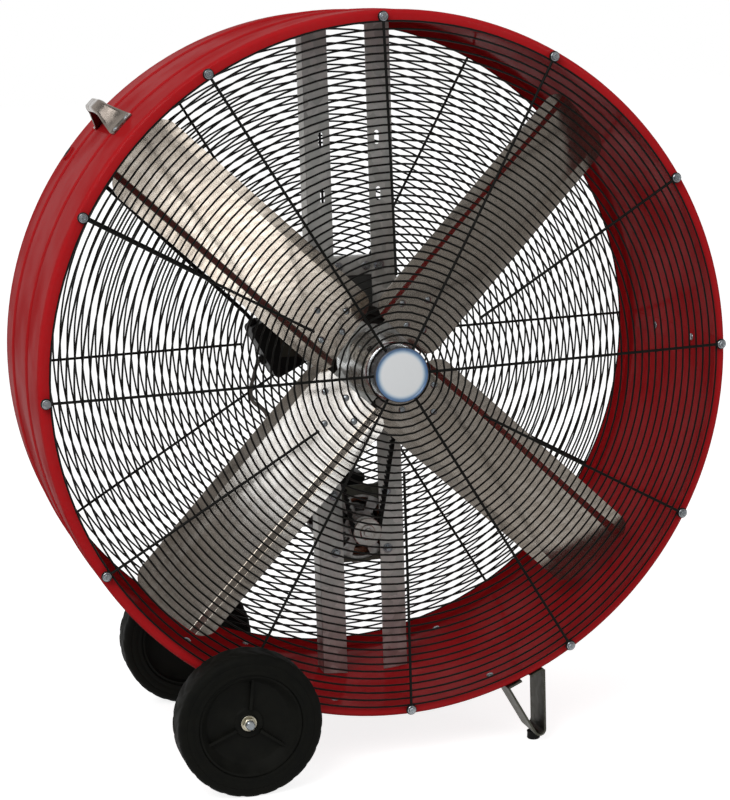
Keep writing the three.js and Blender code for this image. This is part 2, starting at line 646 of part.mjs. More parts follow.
/** An end bell: a round plate with a shaft hole and a ring of windows. */
function motorBell(y0) {
  const shape = facetCircle(MOTOR_RADIUS, 24);
  shape.holes.push(facetCircle(MOTOR_SHAFT_RADIUS + CLEARANCE, 12));
  const step = 2 * Math.PI / MOTOR_WINDOW_COUNT;
  for (let i = 0; i < MOTOR_WINDOW_COUNT; i += 1) {
    const from = step * (i + 0.15);
    const to = step * (i + 0.85);
    const window = new THREE.Path();
    window.absarc(0, 0, MOTOR_WINDOW_OUTER, from, to, false);
    window.absarc(0, 0, MOTOR_WINDOW_INNER, to, from, true);
    window.closePath();
    shape.holes.push(window);
  }
  return alongY(shape, y0, y0 + MOTOR_BELL_DEPTH, 2);
}

const motorShell = () => sleeve(MOTOR_RADIUS - MOTOR_WALL, MOTOR_RADIUS, SHELL_Y, SHELL_Y + MOTOR_SHELL_LENGTH, 24);

/** The wound stator: its core, with the end turns standing out of both faces. */
function motorStator() {
  const front = STATOR_Y;
  const back = STATOR_Y + STATOR_LENGTH;
  const outer = MOTOR_RADIUS - MOTOR_WALL - CLEARANCE;
  const turns = outer - 4;
  return turned(ringProfile([
    [ROTOR_RADIUS + 1, front], [WINDING_INNER, front], [WINDING_INNER, front - WINDING_LENGTH],
    [turns, front - WINDING_LENGTH], [turns, front], [outer, front], [outer, back], [turns, back],
    [turns, back + WINDING_LENGTH], [WINDING_INNER, back + WINDING_LENGTH], [WINDING_INNER, back],
    [ROTOR_RADIUS + 1, back],
  ]), 24);
}

function motorShaft() {
  const front = PULLEY_MID_Y - PULLEY_WIDTH / 2 - 4;
  const back = REAR_BELL_Y + MOTOR_BELL_DEPTH + 2;
  return turned([
    [0, front], [MOTOR_SHAFT_RADIUS, front], [MOTOR_SHAFT_RADIUS, STATOR_Y], [ROTOR_RADIUS, STATOR_Y],
    [ROTOR_RADIUS, STATOR_Y + STATOR_LENGTH], [MOTOR_SHAFT_RADIUS, STATOR_Y + STATOR_LENGTH],
    [MOTOR_SHAFT_RADIUS, back], [0, back],
  ], 12);
}

/** The capacitor's cover on top of the motor, its underside cut to the motor's round. */
function capacitorCover() {
  const half = CAPACITOR_HALF_WIDTH;
  const top = MOTOR_RADIUS + CAPACITOR_HEIGHT;
  const shape = new THREE.Shape();
  shape.moveTo(-half, 0);
  shape.lineTo(half, 0);
  shape.lineTo(half, top - half / 2);
  shape.quadraticCurveTo(half, top, half / 2, top);
  shape.lineTo(-half / 2, top);
  shape.quadraticCurveTo(-half, top, -half, top - half / 2);
  shape.closePath();
  const y0 = SHELL_Y + (MOTOR_SHELL_LENGTH - CAPACITOR_LENGTH) / 2;
  const block = toSolid(alongY(shape, y0, y0 + CAPACITOR_LENGTH, 4));
  return block.subtract(toSolid(rod(MOTOR_RADIUS + CLEARANCE, y0 - 1, y0 + CAPACITOR_LENGTH + 1, 24)));
}

// ---------------------------------------------------------------- switch box and leads
const COVER_Y = BOX_FRONT_Y + BOX_DEPTH + CLEARANCE;
const KNOB_Y = COVER_Y + BOX_COVER_SHEET + CLEARANCE;
const BOX_TILT = radians(BOX_TILT_DEG);

/** A point of the tilted switch box, from offsets across and up it. */
function boxPoint(across, up, y) {
  const x = BOX_X + across * Math.cos(BOX_TILT) - up * Math.sin(BOX_TILT);
  return new THREE.Vector3(x, y, BOX_Z + across * Math.sin(BOX_TILT) + up * Math.cos(BOX_TILT));
}

function roundedRectangle(width, height, corner) {
  const x = width / 2;
  const z = height / 2;
  const shape = new THREE.Shape();
  shape.moveTo(-x + corner, -z);
  shape.lineTo(x - corner, -z);
  shape.quadraticCurveTo(x, -z, x, -z + corner);
  shape.lineTo(x, z - corner);
  shape.quadraticCurveTo(x, z, x - corner, z);
  shape.lineTo(-x + corner, z);
  shape.quadraticCurveTo(-x, z, -x, z - corner);
  shape.lineTo(-x, -z + corner);
  shape.quadraticCurveTo(-x, -z, -x + corner, -z);
  return shape;
}

/** The switch box's tub, open at the back where its cover goes. */
function switchBox() {
  const back = BOX_FRONT_Y + BOX_DEPTH;
  const tub = toSolid(alongY(roundedRectangle(BOX_WIDTH, BOX_HEIGHT, BOX_CORNER), BOX_FRONT_Y, back, 3));
  const room = roundedRectangle(BOX_WIDTH - 2 * BOX_WALL, BOX_HEIGHT - 2 * BOX_WALL, BOX_CORNER - BOX_WALL);
  return tub.subtract(toSolid(alongY(room, BOX_FRONT_Y + BOX_WALL, back + 1, 3)));
}

const switchCover = () =>
  alongY(roundedRectangle(BOX_WIDTH, BOX_HEIGHT, BOX_CORNER), COVER_Y, COVER_Y + BOX_COVER_SHEET, 3);

/** The bracket: along the left post's flange, then turned out in front of the switch box. */
function switchBracket() {
  const post = -POST_OUTER_X - CLEARANCE;
  const seat = BOX_FRONT_Y - CLEARANCE;
  const sheet = BOX_BRACKET_SHEET;
  const section = outline([
    [post, POST_FACE_Y + POST_SHEET + 7], [post, seat], [post - BOX_BRACKET_REACH, seat],
    [post - BOX_BRACKET_REACH, seat - sheet], [post - sheet, seat - sheet],
    [post - sheet, POST_FACE_Y + POST_SHEET + 7],
  ]);
  const height = 2 * BOX_BRACKET_HALF_HEIGHT;
  const bar = new THREE.ExtrudeGeometry(section, { depth: height, bevelEnabled: false });
  return bar.translate(0, 0, BOX_Z - BOX_BRACKET_HALF_HEIGHT);
}

/** The rotary switch's knob: a stem out through the guard, a round skirt and a raised grip across it. */
function switchKnob() {
  const skirtY = KNOB_Y + BOX_COVER_SHEET + KNOB_STANDOFF + SPOKE_WIRE;
  const stem = toSolid(rod(KNOB_STEM_RADIUS, KNOB_Y, skirtY + 1, 12));
  const skirt = toSolid(rod(KNOB_RADIUS, skirtY, skirtY + KNOB_HEIGHT * 0.4, 20));
  const half = KNOB_RADIUS * 0.3;
  const reach = KNOB_RADIUS * 0.9;
  const grip = outline([[-half, -reach], [half, -reach], [half, reach], [-half, reach]]);
  return join([stem, skirt, toSolid(alongY(grip, skirtY + 1, skirtY + KNOB_HEIGHT))]);
}

const wallAngle = radians(CABLE_WALL_ANGLE_DEG);
const CABLE_END = new THREE.Vector3(Math.cos(wallAngle), 0, Math.sin(wallAngle))
  .multiplyScalar(WALL_INNER - GROMMET_SEAT - GROMMET_FLANGE_THICKNESS - 1).setY(CABLE_Y);

/** The mains lead: out of the top of the switch box and straight to the grommet in the drum's wall. */
function powerCable() {
  const start = boxPoint(CABLE_BOX_OFFSET, BOX_HEIGHT / 2 + CLEARANCE, CABLE_Y);
  const turn = boxPoint(CABLE_BOX_OFFSET, BOX_HEIGHT / 2 + 14, CABLE_Y);
  const away = CABLE_END.clone().sub(turn).normalize();
  const straightFrom = turn.clone().addScaledVector(away, 20);
  const path = new THREE.CurvePath();
  path.add(new THREE.QuadraticBezierCurve3(start, turn, straightFrom));
  path.add(new THREE.LineCurve3(straightFrom, CABLE_END));
  return wire(path, CABLE_RADIUS, 6, 14);
}

/** The grommet: a rubber spool through the drum's wall, a flange on both faces. */
function cableGrommet() {
  const inner = WALL_INNER - GROMMET_SEAT;
  const outer = DRUM_RADIUS + CLEARANCE;
  const flange = GROMMET_FLANGE_RADIUS;
  const thickness = GROMMET_FLANGE_THICKNESS;
  const spool = new THREE.LatheGeometry([
    [0, inner - thickness], [flange - 2, inner - thickness], [flange, inner - thickness + 2],
    [flange, inner], [GROMMET_NECK_RADIUS, inner], [GROMMET_NECK_RADIUS, outer], [flange, outer],
    [flange, outer + 1], [flange - 2, outer + 3], [0, outer + 3],
  ].map(([r, y]) => new THREE.Vector2(r, y)), 12);
  return spool.rotateX(Math.PI / 2).rotateY(Math.PI / 2 - wallAngle).translate(0, CABLE_Y, 0);
}

/** The hole in the drum's wall for the grommet. */
function grommetHole() {
  const bore = new THREE.LatheGeometry([
    [0, WALL_INNER - 20], [GROMMET_NECK_RADIUS + CLEARANCE, WALL_INNER - 20],
    [GROMMET_NECK_RADIUS + CLEARANCE, DRUM_RADIUS + 20], [0, DRUM_RADIUS + 20],
  ].map(([r, y]) => new THREE.Vector2(r, y)), 12);
  return toSolid(bore.rotateX(Math.PI / 2).rotateY(Math.PI / 2 - wallAngle).translate(0, CABLE_Y, 0));
}

/** The motor's own lead: out of the box's side, a loose bow, and forward and down into the motor. */
function motorLead() {
  const edge = -BOX_WIDTH / 2;
  const y = BOX_FRONT_Y + BOX_DEPTH / 2;
  const start = boxPoint(edge - CLEARANCE, LEAD_BOX_OFFSET, y);
  const motorSide = new THREE.Vector3(-MOTOR_RADIUS - CLEARANCE, SHELL_Y + 70, -DRIVE_DISTANCE);
  const points = [
    start,
    boxPoint(edge - 12, LEAD_BOX_OFFSET, y),
    boxPoint(edge - 36, LEAD_BOX_OFFSET - 22, y - 3),
    boxPoint(edge - 50, LEAD_BOX_OFFSET - 36, y - 8),
    boxPoint(edge - 59, LEAD_BOX_OFFSET - 56, y - 18),
    boxPoint(edge - 50, LEAD_BOX_OFFSET - 86, y - 30),
    new THREE.Vector3(motorSide.x - 62, motorSide.y + 8, motorSide.z + 120),
    new THREE.Vector3(motorSide.x - 46, motorSide.y, motorSide.z + 30),
    new THREE.Vector3(motorSide.x - 16, motorSide.y, motorSide.z),
    motorSide,
  ];
  return wire(new THREE.CatmullRomCurve3(points, false, 'centripetal'), LEAD_RADIUS, 6, 24);
}

// ---------------------------------------------------------------- wheels
/** A tyre: a tread with round shoulders, tall sidewalls, and the seat for its disc. */
function tyre() {
  const half = WHEEL_WIDTH / 2;
  const seat = RIM_RADIUS + CLEARANCE;
  const shoulder = WHEEL_RADIUS - TYRE_SHOULDER;
  return turned(ringProfile([
    [seat, -half], [shoulder, -half], [WHEEL_RADIUS - 2, -half + 0.8 * TYRE_SHOULDER],
    [WHEEL_RADIUS, -half + 1.8 * TYRE_SHOULDER], [WHEEL_RADIUS, half - 1.8 * TYRE_SHOULDER],
    [WHEEL_RADIUS - 2, half - 0.8 * TYRE_SHOULDER], [shoulder, half], [seat, half],
  ]), WHEEL_SIDES);
}

/** The wheel's disc: a rim, a coned recess with ribs, and a boss on the axle. y < 0 is the outer side. */
function wheelDisc() {
  const half = WHEEL_WIDTH / 2;
  const webFront = -half + DISC_RECESS;
  const webBack = webFront + DISC_SHEET;
  const bore = AXLE_RADIUS + CLEARANCE;
  const body = toSolid(turned(ringProfile([
    [bore, webFront - 3], [DISC_BOSS_RADIUS, webFront - 3], [DISC_BOSS_RADIUS + 2, webFront],
    [DISC_CONE_RADIUS, webFront], [RIM_RADIUS - 3, -half + 5], [RIM_RADIUS, -half + 5],
    [RIM_RADIUS, half - 5], [RIM_RADIUS - 5, half - 5], [RIM_RADIUS - 5, webBack + 6],
    [DISC_CONE_RADIUS, webBack], [DISC_BOSS_RADIUS, webBack], [DISC_BOSS_RADIUS - 4, half],
    [bore, half],
  ]), WHEEL_SIDES));
  const ribs = Array.from({ length: DISC_RIB_COUNT }, (_, i) => {
    const section = outline([[webFront - DISC_RIB_HEIGHT, -DISC_RIB_THICKNESS / 2],
      [webFront - DISC_RIB_HEIGHT, DISC_RIB_THICKNESS / 2], [webFront + 2, DISC_RIB_THICKNESS / 2],
      [webFront + 2, -DISC_RIB_THICKNESS / 2]]);
    const rib = alongX(section, DISC_BOSS_RADIUS - 1, DISC_CONE_RADIUS + 9);
    return toSolid(rib.rotateY(-radians(DISC_RIB_TURN_DEG + 360 * i / DISC_RIB_COUNT)));
  });
  return join([body, ...ribs]);
}

const NUT_SEAT = WHEEL_MID_Y + WHEEL_WIDTH / 2 - DISC_RECESS + 3 + CLEARANCE;
const axleHalf = NUT_SEAT + AXLE_WASHER_THICKNESS + AXLE_NUT_HEIGHT + AXLE_STUB;
const wheelAxle = () => rod(AXLE_RADIUS, -axleHalf, axleHalf, 12);

/** The axle's end nut on its washer, made for the rear end. */
function axleNut() {
  const face = NUT_SEAT + AXLE_WASHER_THICKNESS;
  const washer = toSolid(sleeve(AXLE_RADIUS + CLEARANCE, AXLE_WASHER_RADIUS, NUT_SEAT, face, 12));
  const shape = facetCircle(AXLE_NUT_RADIUS + 1, 6);
  shape.holes.push(facetCircle(AXLE_RADIUS + CLEARANCE, 12));
  return washer.add(toSolid(alongY(shape, NUT_SEAT + 1, face + AXLE_NUT_HEIGHT)));
}

const AXLE_Z = WHEEL_RADIUS - DRUM_AXIS_HEIGHT;

/** A saddle under the drum that carries the axle; its foot follows the drum's wall. */
function axleBracket(mid) {
  const axleReach = Math.hypot(AXLE_X, AXLE_Z);
  const drop = axleReach - DRUM_RADIUS;
  const foot = BRACKET_HALF_FOOT;
  const sheet = BRACKET_SHEET;
  const shape = new THREE.Shape();
  shape.moveTo(-foot, -6);
  shape.lineTo(foot, -6);
  shape.lineTo(foot, sheet - 1);
  shape.lineTo(BRACKET_CROWN + 12, sheet);
  shape.lineTo(BRACKET_CROWN, drop);
  shape.absarc(0, drop, BRACKET_CROWN, 0, Math.PI, false);
  shape.lineTo(-BRACKET_CROWN - 12, sheet);
  shape.lineTo(-foot, sheet - 1);
  shape.closePath();
  const y0 = mid - BRACKET_WIDTH / 2;
  const y1 = mid + BRACKET_WIDTH / 2;
  const window = outline([[-BRACKET_CROWN - 4, sheet + 1], [BRACKET_CROWN + 4, sheet + 1],
    [BRACKET_CROWN - sheet, drop - AXLE_RADIUS - sheet], [-BRACKET_CROWN + sheet, drop - AXLE_RADIUS - sheet]]);
  const bore = rod(AXLE_RADIUS + CLEARANCE, y0 - 1, y1 + 1, 16).translate(0, 0, drop);
  const saddle = toSolid(alongY(shape, y0, y1, 6)).subtract(toSolid(alongY(window, y0 - 1, y1 + 1)))
    .subtract(toSolid(bore));
  const turn = Math.atan2(AXLE_Z, AXLE_X) - Math.PI / 2;
  const placed = toGeometry(saddle).translate(0, 0, DRUM_RADIUS).rotateY(-turn);
  return toSolid(placed).subtract(drumOutside());
}

// ---------------------------------------------------------------- legs
const FOOT_TOP = FOOT_HEIGHT - DRUM_AXIS_HEIGHT;

/** The mid line of a leg's strap, from its right-hand tab round the bend and up to its left-hand tab. */
function legLine() {
  const bendZ = FOOT_TOP + CLEARANCE + LEG_SHEET / 2 + LEG_BEND_RADIUS;
  const bendX = LEG_X - LEG_BEND_RADIUS;
  const onWall = (x) => -Math.sqrt((DRUM_RADIUS + 1) ** 2 - x * x);
  const slant = radians(LEG_SLANT_DEG);
  const points = [[LEG_X - LEG_TAB, onWall(LEG_X - LEG_TAB) - LEG_SHEET / 2], [LEG_X, onWall(LEG_X) - LEG_SHEET / 2]];
  for (let turn = 0; turn >= -180 + LEG_SLANT_DEG; turn -= (180 - LEG_SLANT_DEG) / 6) {
    const [dx, dz] = polar(LEG_BEND_RADIUS, radians(turn));
    points.push([bendX + dx, bendZ + dz]);
  }
  const [lastX, lastZ] = points[points.length - 1];
  const up = [-Math.sin(slant), Math.cos(slant)];
  let reach = 0;
  while (Math.hypot(lastX + up[0] * reach, lastZ + up[1] * reach) > DRUM_RADIUS + 1 + LEG_SHEET / 2) reach += 1;
  const topX = lastX + up[0] * reach;
  points.push([topX, lastZ + up[1] * reach]);
  points.push([topX + LEG_TAB, onWall(topX + LEG_TAB) - LEG_SHEET / 2]);
  return points;
}

/** A strip of even thickness along a line of (x, z) points. */
function strip(points, thickness) {
  const sides = [[], []];
  points.forEach(([x, z], i) => {
    const before = points[Math.max(i - 1, 0)];
    const after = points[Math.min(i + 1, points.length - 1)];
    const back = i ? unit(x - before[0], z - before[1]) : null;
    const next = i < points.length - 1 ? unit(after[0] - x, after[1] - z) : null;
    const first = back ?? next;
    const second = next ?? back;
    const mitre = unit(-first[1] - second[1], first[0] + second[0]);
    const grow = thickness / 2 / Math.max(0.5, mitre[0] * -first[1] + mitre[1] * first[0]);
    sides[0].push([x + mitre[0] * grow, z + mitre[1] * grow]);
    sides[1].push([x - mitre[0] * grow, z - mitre[1] * grow]);
  });
  return outline([...sides[0], ...sides[1].reverse()]);
}

function unit(a, b) {
  const length = Math.hypot(a, b);
  return [a / length, b / length];
}

function leg(side) {
  const y0 = side > 0 ? REAR_Y - LEG_WIDTH : FRONT_Y;
  return toSolid(alongY(strip(legLine(), LEG_SHEET), y0, y0 + LEG_WIDTH)).subtract(drumOutside());
}

/** A rubber foot, upright under a leg's bend. */
function legFoot() {
  const chamfer = 2;
  const profile = [[0, 0], [FOOT_RADIUS - chamfer, 0], [FOOT_RADIUS, chamfer], [FOOT_RADIUS, FOOT_HEIGHT], [0, FOOT_HEIGHT]];
  return turned(profile, 16).rotateX(Math.PI / 2);
}

// ---------------------------------------------------------------- handle
/** The handle: an arched strap, wide at its riveted feet and narrow at the grip, its grip edges turned down. */
function handle() {
  const half = HANDLE_LENGTH / 2;
  const base = DRUM_RADIUS + CLEARANCE + HANDLE_SHEET / 2;
  const crest = DRUM_RADIUS + HANDLE_RISE - HANDLE_SHEET / 2;
  const rampEnd = half - HANDLE_FOOT_LENGTH - HANDLE_RAMP_LENGTH;
  const rampStart = half - HANDLE_FOOT_LENGTH;
  const middle = (rampStart + rampEnd) / 2;
  const line = [];
  const ramp = [[half, base], [rampStart, base], [rampStart - 8, base + 3], [middle + 8, (base + crest) / 2 - 8],
    [middle - 8, (base + crest) / 2 + 10], [rampEnd + 8, crest - 4], [rampEnd - 8, crest]];
  ramp.forEach(([y, r]) => line.push([-y, r]));
  [...ramp].reverse().forEach(([y, r]) => line.push([y, r]));
  const arch = toSolid(alongX(strip(line, HANDLE_SHEET), -HANDLE_FOOT_HALF_WIDTH - 1, HANDLE_FOOT_HALF_WIDTH + 1));
  const plan = outline([
    [-HANDLE_FOOT_HALF_WIDTH, -half], [HANDLE_FOOT_HALF_WIDTH, -half],
    [HANDLE_FOOT_HALF_WIDTH, -rampStart - 6], [HANDLE_GRIP_HALF_WIDTH + 3, -middle],
    [HANDLE_GRIP_HALF_WIDTH, -rampEnd],
    [HANDLE_GRIP_HALF_WIDTH, rampEnd], [HANDLE_GRIP_HALF_WIDTH + 3, middle],
    [HANDLE_FOOT_HALF_WIDTH, rampStart + 6], [HANDLE_FOOT_HALF_WIDTH, half],
    [-HANDLE_FOOT_HALF_WIDTH, half], [-HANDLE_FOOT_HALF_WIDTH, rampStart + 6],
    [-HANDLE_GRIP_HALF_WIDTH - 3, middle], [-HANDLE_GRIP_HALF_WIDTH, rampEnd],
    [-HANDLE_GRIP_HALF_WIDTH, -rampEnd], [-HANDLE_GRIP_HALF_WIDTH - 3, -middle],
    [-HANDLE_FOOT_HALF_WIDTH, -rampStart - 6],
  ]);
  const planSolid = new THREE.ExtrudeGeometry(plan, { depth: 2 * HANDLE_RISE, bevelEnabled: false });
  const strap = arch.intersect(toSolid(planSolid.translate(0, 0, DRUM_RADIUS - HANDLE_RISE / 2)));
  const skirts = [-1, 1].map((side) => {
    const edge = new THREE.BoxGeometry(HANDLE_SHEET, 2 * rampEnd, HANDLE_SKIRT);
    return toSolid(edge.translate(side * (HANDLE_GRIP_HALF_WIDTH - HANDLE_SHEET / 2), 0, crest - HANDLE_SKIRT / 2));
  });
  const turn = radians(HANDLE_ANGLE_DEG) - Math.PI / 2;
  const placed = toGeometry(join([strap, ...skirts])).rotateY(-turn);
  return toSolid(placed).subtract(drumOutside());
}

// ---------------------------------------------------------------- the fan, piece by piece
put('drum_shell', drumShell().subtract(grommetHole()), RED_PAINT);
put('front_guard', guard(-1, 1), BLACK_WIRE);
put('rear_guard', guard(1, 0), BLACK_WIRE);
put('guard_badge', guardBadge(), BADGE_WHITE);
for (let i = 0; i < SPOKE_COUNT; i += 1) {
  const [x, z] = polar(BOLT_CIRCLE, radians(GUARD_TURN_DEG + 360 * i / SPOKE_COUNT));
  put(`front_guard_bolt_${String(i + 1).padStart(2, '0')}`, guardBolt(), BRIGHT_STEEL, axisGroup, [x, 0, z]);
}

put('left_post', post(-1), GALVANISED);
put('right_post', post(1), GALVANISED);
put('upper_cross_angle', crossAngle(UPPER_CROSS_TOP - CROSS_HEIGHT, true), GALVANISED);
put('lower_cross_angle', crossAngle(LOWER_CROSS_BOTTOM, false), GALVANISED);
put('bearing_housing', bearingHousing(), DARK_STEEL);
put('front_bearing', bearing(HOUSING_Y + HOUSING_PLATE_SHEET), BRIGHT_STEEL);
put('rear_bearing', bearing(HOUSING_Y + HOUSING_LENGTH - BEARING_WIDTH - 2), BRIGHT_STEEL);

put('fan_shaft', fanShaft(), BRIGHT_STEEL);
put('fan_hub', fanHub(), GALVANISED);
for (let i = 0; i < BLADE_COUNT; i += 1) put(`blade_${i + 1}`, blade(i), ALUMINIUM);
put('fan_pulley', pulley(PULLEY_RADIUS, SHAFT_RADIUS + CLEARANCE, PULLEY_WEB_CUT, 20), DARK_STEEL);
put('drive_belt', driveBelt(), RUBBER);

const motorGroup = new THREE.Group();
motorGroup.position.z = -DRIVE_DISTANCE;
axisGroup.add(motorGroup);
put('motor_plate', motorPlate(), GALVANISED);
put('motor_front_bell', motorBell(BELL_Y), ALUMINIUM, motorGroup);
put('motor_stator', motorStator(), COPPER, motorGroup);
put('motor_shell', motorShell(), DARK_STEEL, motorGroup);
put('motor_rear_bell', motorBell(REAR_BELL_Y), ALUMINIUM, motorGroup);
put('motor_shaft', motorShaft(), BRIGHT_STEEL, motorGroup);
put('motor_pulley', pulley(MOTOR_PULLEY_RADIUS, MOTOR_SHAFT_RADIUS + CLEARANCE, 0, 12), ALUMINIUM, motorGroup);
put('motor_capacitor_cover', capacitorCover(), BLACK_PLASTIC, motorGroup);

const boxGroup = new THREE.Group();
boxGroup.position.set(BOX_X, 0, BOX_Z);
boxGroup.rotation.y = -BOX_TILT;
axisGroup.add(boxGroup);
put('switch_box', switchBox(), BLACK_PLASTIC, boxGroup);
put('switch_box_cover', switchCover(), BLACK_PLASTIC, boxGroup);
put('switch_knob', switchKnob(), BLACK_PLASTIC, boxGroup);
put('switch_bracket', switchBracket(), DARK_STEEL);
put('power_cable', powerCable(), RUBBER);
put('cable_grommet', cableGrommet(), RUBBER);
put('motor_lead', motorLead(), GREY_CABLE);

const axleGroup = new THREE.Group();
axleGroup.position.set(AXLE_X, 0, WHEEL_RADIUS);
group.add(axleGroup);
put('wheel_axle', wheelAxle(), BRIGHT_STEEL, axleGroup);
put('front_axle_bracket', axleBracket(-BRACKET_Y), GALVANISED);
put('rear_axle_bracket', axleBracket(BRACKET_Y), GALVANISED);
for (const [name, side] of [['front', -1], ['rear', 1]]) {
  const wheelGroup = new THREE.Group();
  wheelGroup.position.y = side * WHEEL_MID_Y;
  axleGroup.add(wheelGroup);
  const disc = put(`${name}_wheel_disc`, wheelDisc(), BLACK_PLASTIC, wheelGroup);
  const nut = put(`${name}_axle_nut`, axleNut(), BRIGHT_STEEL, axleGroup);
  if (side > 0) disc.rotation.z = Math.PI;
  else nut.rotation.z = Math.PI;
  put(`${name}_wheel_tyre`, tyre(), RUBBER, wheelGroup);
  put(`${name}_leg`, leg(side), GALVANISED);
  const footY = side * (REAR_Y - LEG_WIDTH / 2);
  put(`${name}_leg_foot`, legFoot(), RUBBER, group, [LEG_X - LEG_BEND_RADIUS, footY, 0]);
}

put('handle', handle(), BRIGHT_STEEL);

export default group;
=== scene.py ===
"""The looks of a belt-drive drum fan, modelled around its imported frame.

Every size below is in millimetres: x to the right, y to the rear, and z up from the drum's axis.
Part.build turns them into the frame's metres. An angle runs from +x towards +z.
"""

import logging
import math
from abc import ABC, abstractmethod
from collections.abc import Callable, Iterable, Sequence
from dataclasses import dataclass
from enum import Enum

import bmesh
import bpy
import numpy as np
from mathutils import Matrix, Vector
from mathutils.geometry import tessellate_polygon


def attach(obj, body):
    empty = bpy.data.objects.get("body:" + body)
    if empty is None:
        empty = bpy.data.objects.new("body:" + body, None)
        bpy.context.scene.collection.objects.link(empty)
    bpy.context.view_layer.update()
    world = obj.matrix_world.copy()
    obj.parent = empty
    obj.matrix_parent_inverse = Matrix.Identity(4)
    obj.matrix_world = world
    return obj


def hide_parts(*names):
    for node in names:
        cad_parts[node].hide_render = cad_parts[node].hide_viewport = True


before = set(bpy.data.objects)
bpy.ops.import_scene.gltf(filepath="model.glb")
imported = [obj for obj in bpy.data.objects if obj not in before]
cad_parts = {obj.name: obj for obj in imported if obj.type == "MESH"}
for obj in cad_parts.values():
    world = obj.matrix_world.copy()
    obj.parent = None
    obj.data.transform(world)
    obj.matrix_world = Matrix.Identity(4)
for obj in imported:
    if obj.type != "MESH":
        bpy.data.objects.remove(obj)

logging.basicConfig(level=logging.INFO, format="%(message)s")
log = logging.getLogger("drum_fan")

MM = 0.001
AXIS_HEIGHT = 708.0
FLOOR_Z = -AXIS_HEIGHT

Number = int | float
Point = Sequence[float]
Color = tuple[float, float, float]


class Facing(Enum):
    """The plane that a flat outline lies in, and so the axis that its thickness runs along."""

    FRONT = (0, 2, 1)
    SIDE = (1, 2, 0)
    TOP = (0, 1, 2)


class End(Enum):
    """The two ends of the drum, as the sign of their y."""

    FRONT = -1
    REAR = 1

    @property
    def label(self) -> str:
        """The end's name as the frame writes it."""
        return self.name.lower()


# ---------------------------------------------------------------- shading


def srgb(red: Number, green: Number, blue: Number) -> Color:
    """A display colour as linear light.

    Args:
        red, green, blue: display values from 0 to 255.

    Returns:
        The same colour in linear light, from 0 to 1.
    """
    values = np.array([red, green, blue]) / 255
    linear = np.where(values > 0.04045, ((values + 0.055) / 1.055) ** 2.4, values / 12.92)
    return tuple(float(v) for v in linear)


class Socket:
    """A node's output that can be reckoned with: each operator adds a Math or a Vector Math node."""

    def __init__(self, shader: "Shader", output: bpy.types.NodeSocket) -> None:
        self.shader = shader
        self.output = output

    def _combine(self, operation: str, *values: "Socket | Number | Color") -> "Socket":
        wide = any(isinstance(v, tuple) or (isinstance(v, Socket) and v.output.type != "VALUE")
                   for v in values)
        kind = "ShaderNodeVectorMath" if wide else "ShaderNodeMath"
        return self.shader.node(kind, dict(enumerate(values)), operation=operation)

    def __add__(self, other: "Socket | Number | Color") -> "Socket":
        return self._combine("ADD", self, other)

    def __radd__(self, other: "Number | Color") -> "Socket":
        return self._combine("ADD", other, self)

    def __sub__(self, other: "Socket | Number | Color") -> "Socket":
        return self._combine("SUBTRACT", self, other)

    def __rsub__(self, other: "Number | Color") -> "Socket":
        return self._combine("SUBTRACT", other, self)

    def __mul__(self, other: "Socket | Number | Color") -> "Socket":
        return self._combine("MULTIPLY", self, other)

    def __rmul__(self, other: "Number | Color") -> "Socket":
        return self._combine("MULTIPLY", other, self)

    def __truediv__(self, other: "Socket | Number | Color") -> "Socket":
        return self._combine("DIVIDE", self, other)

    def apply(self, operation: str, *others: "Socket | Number") -> "Socket":
        """Any other Math operation on this value.

        Args:
            operation: the Math node's operation.
            others: its other operands.

        Returns:
            The result.
        """
        return self._combine(operation, self, *others)

    def ramp(self, low: float, high: float, start: float = 0.0, end: float = 1.0) -> "Socket":
        """A smooth step from start to end as this value goes from low to high."""
        inputs = {0: self, 1: low, 2: high, 3: start, 4: end}
        return self.shader.node("ShaderNodeMapRange", inputs, interpolation_type="SMOOTHSTEP")


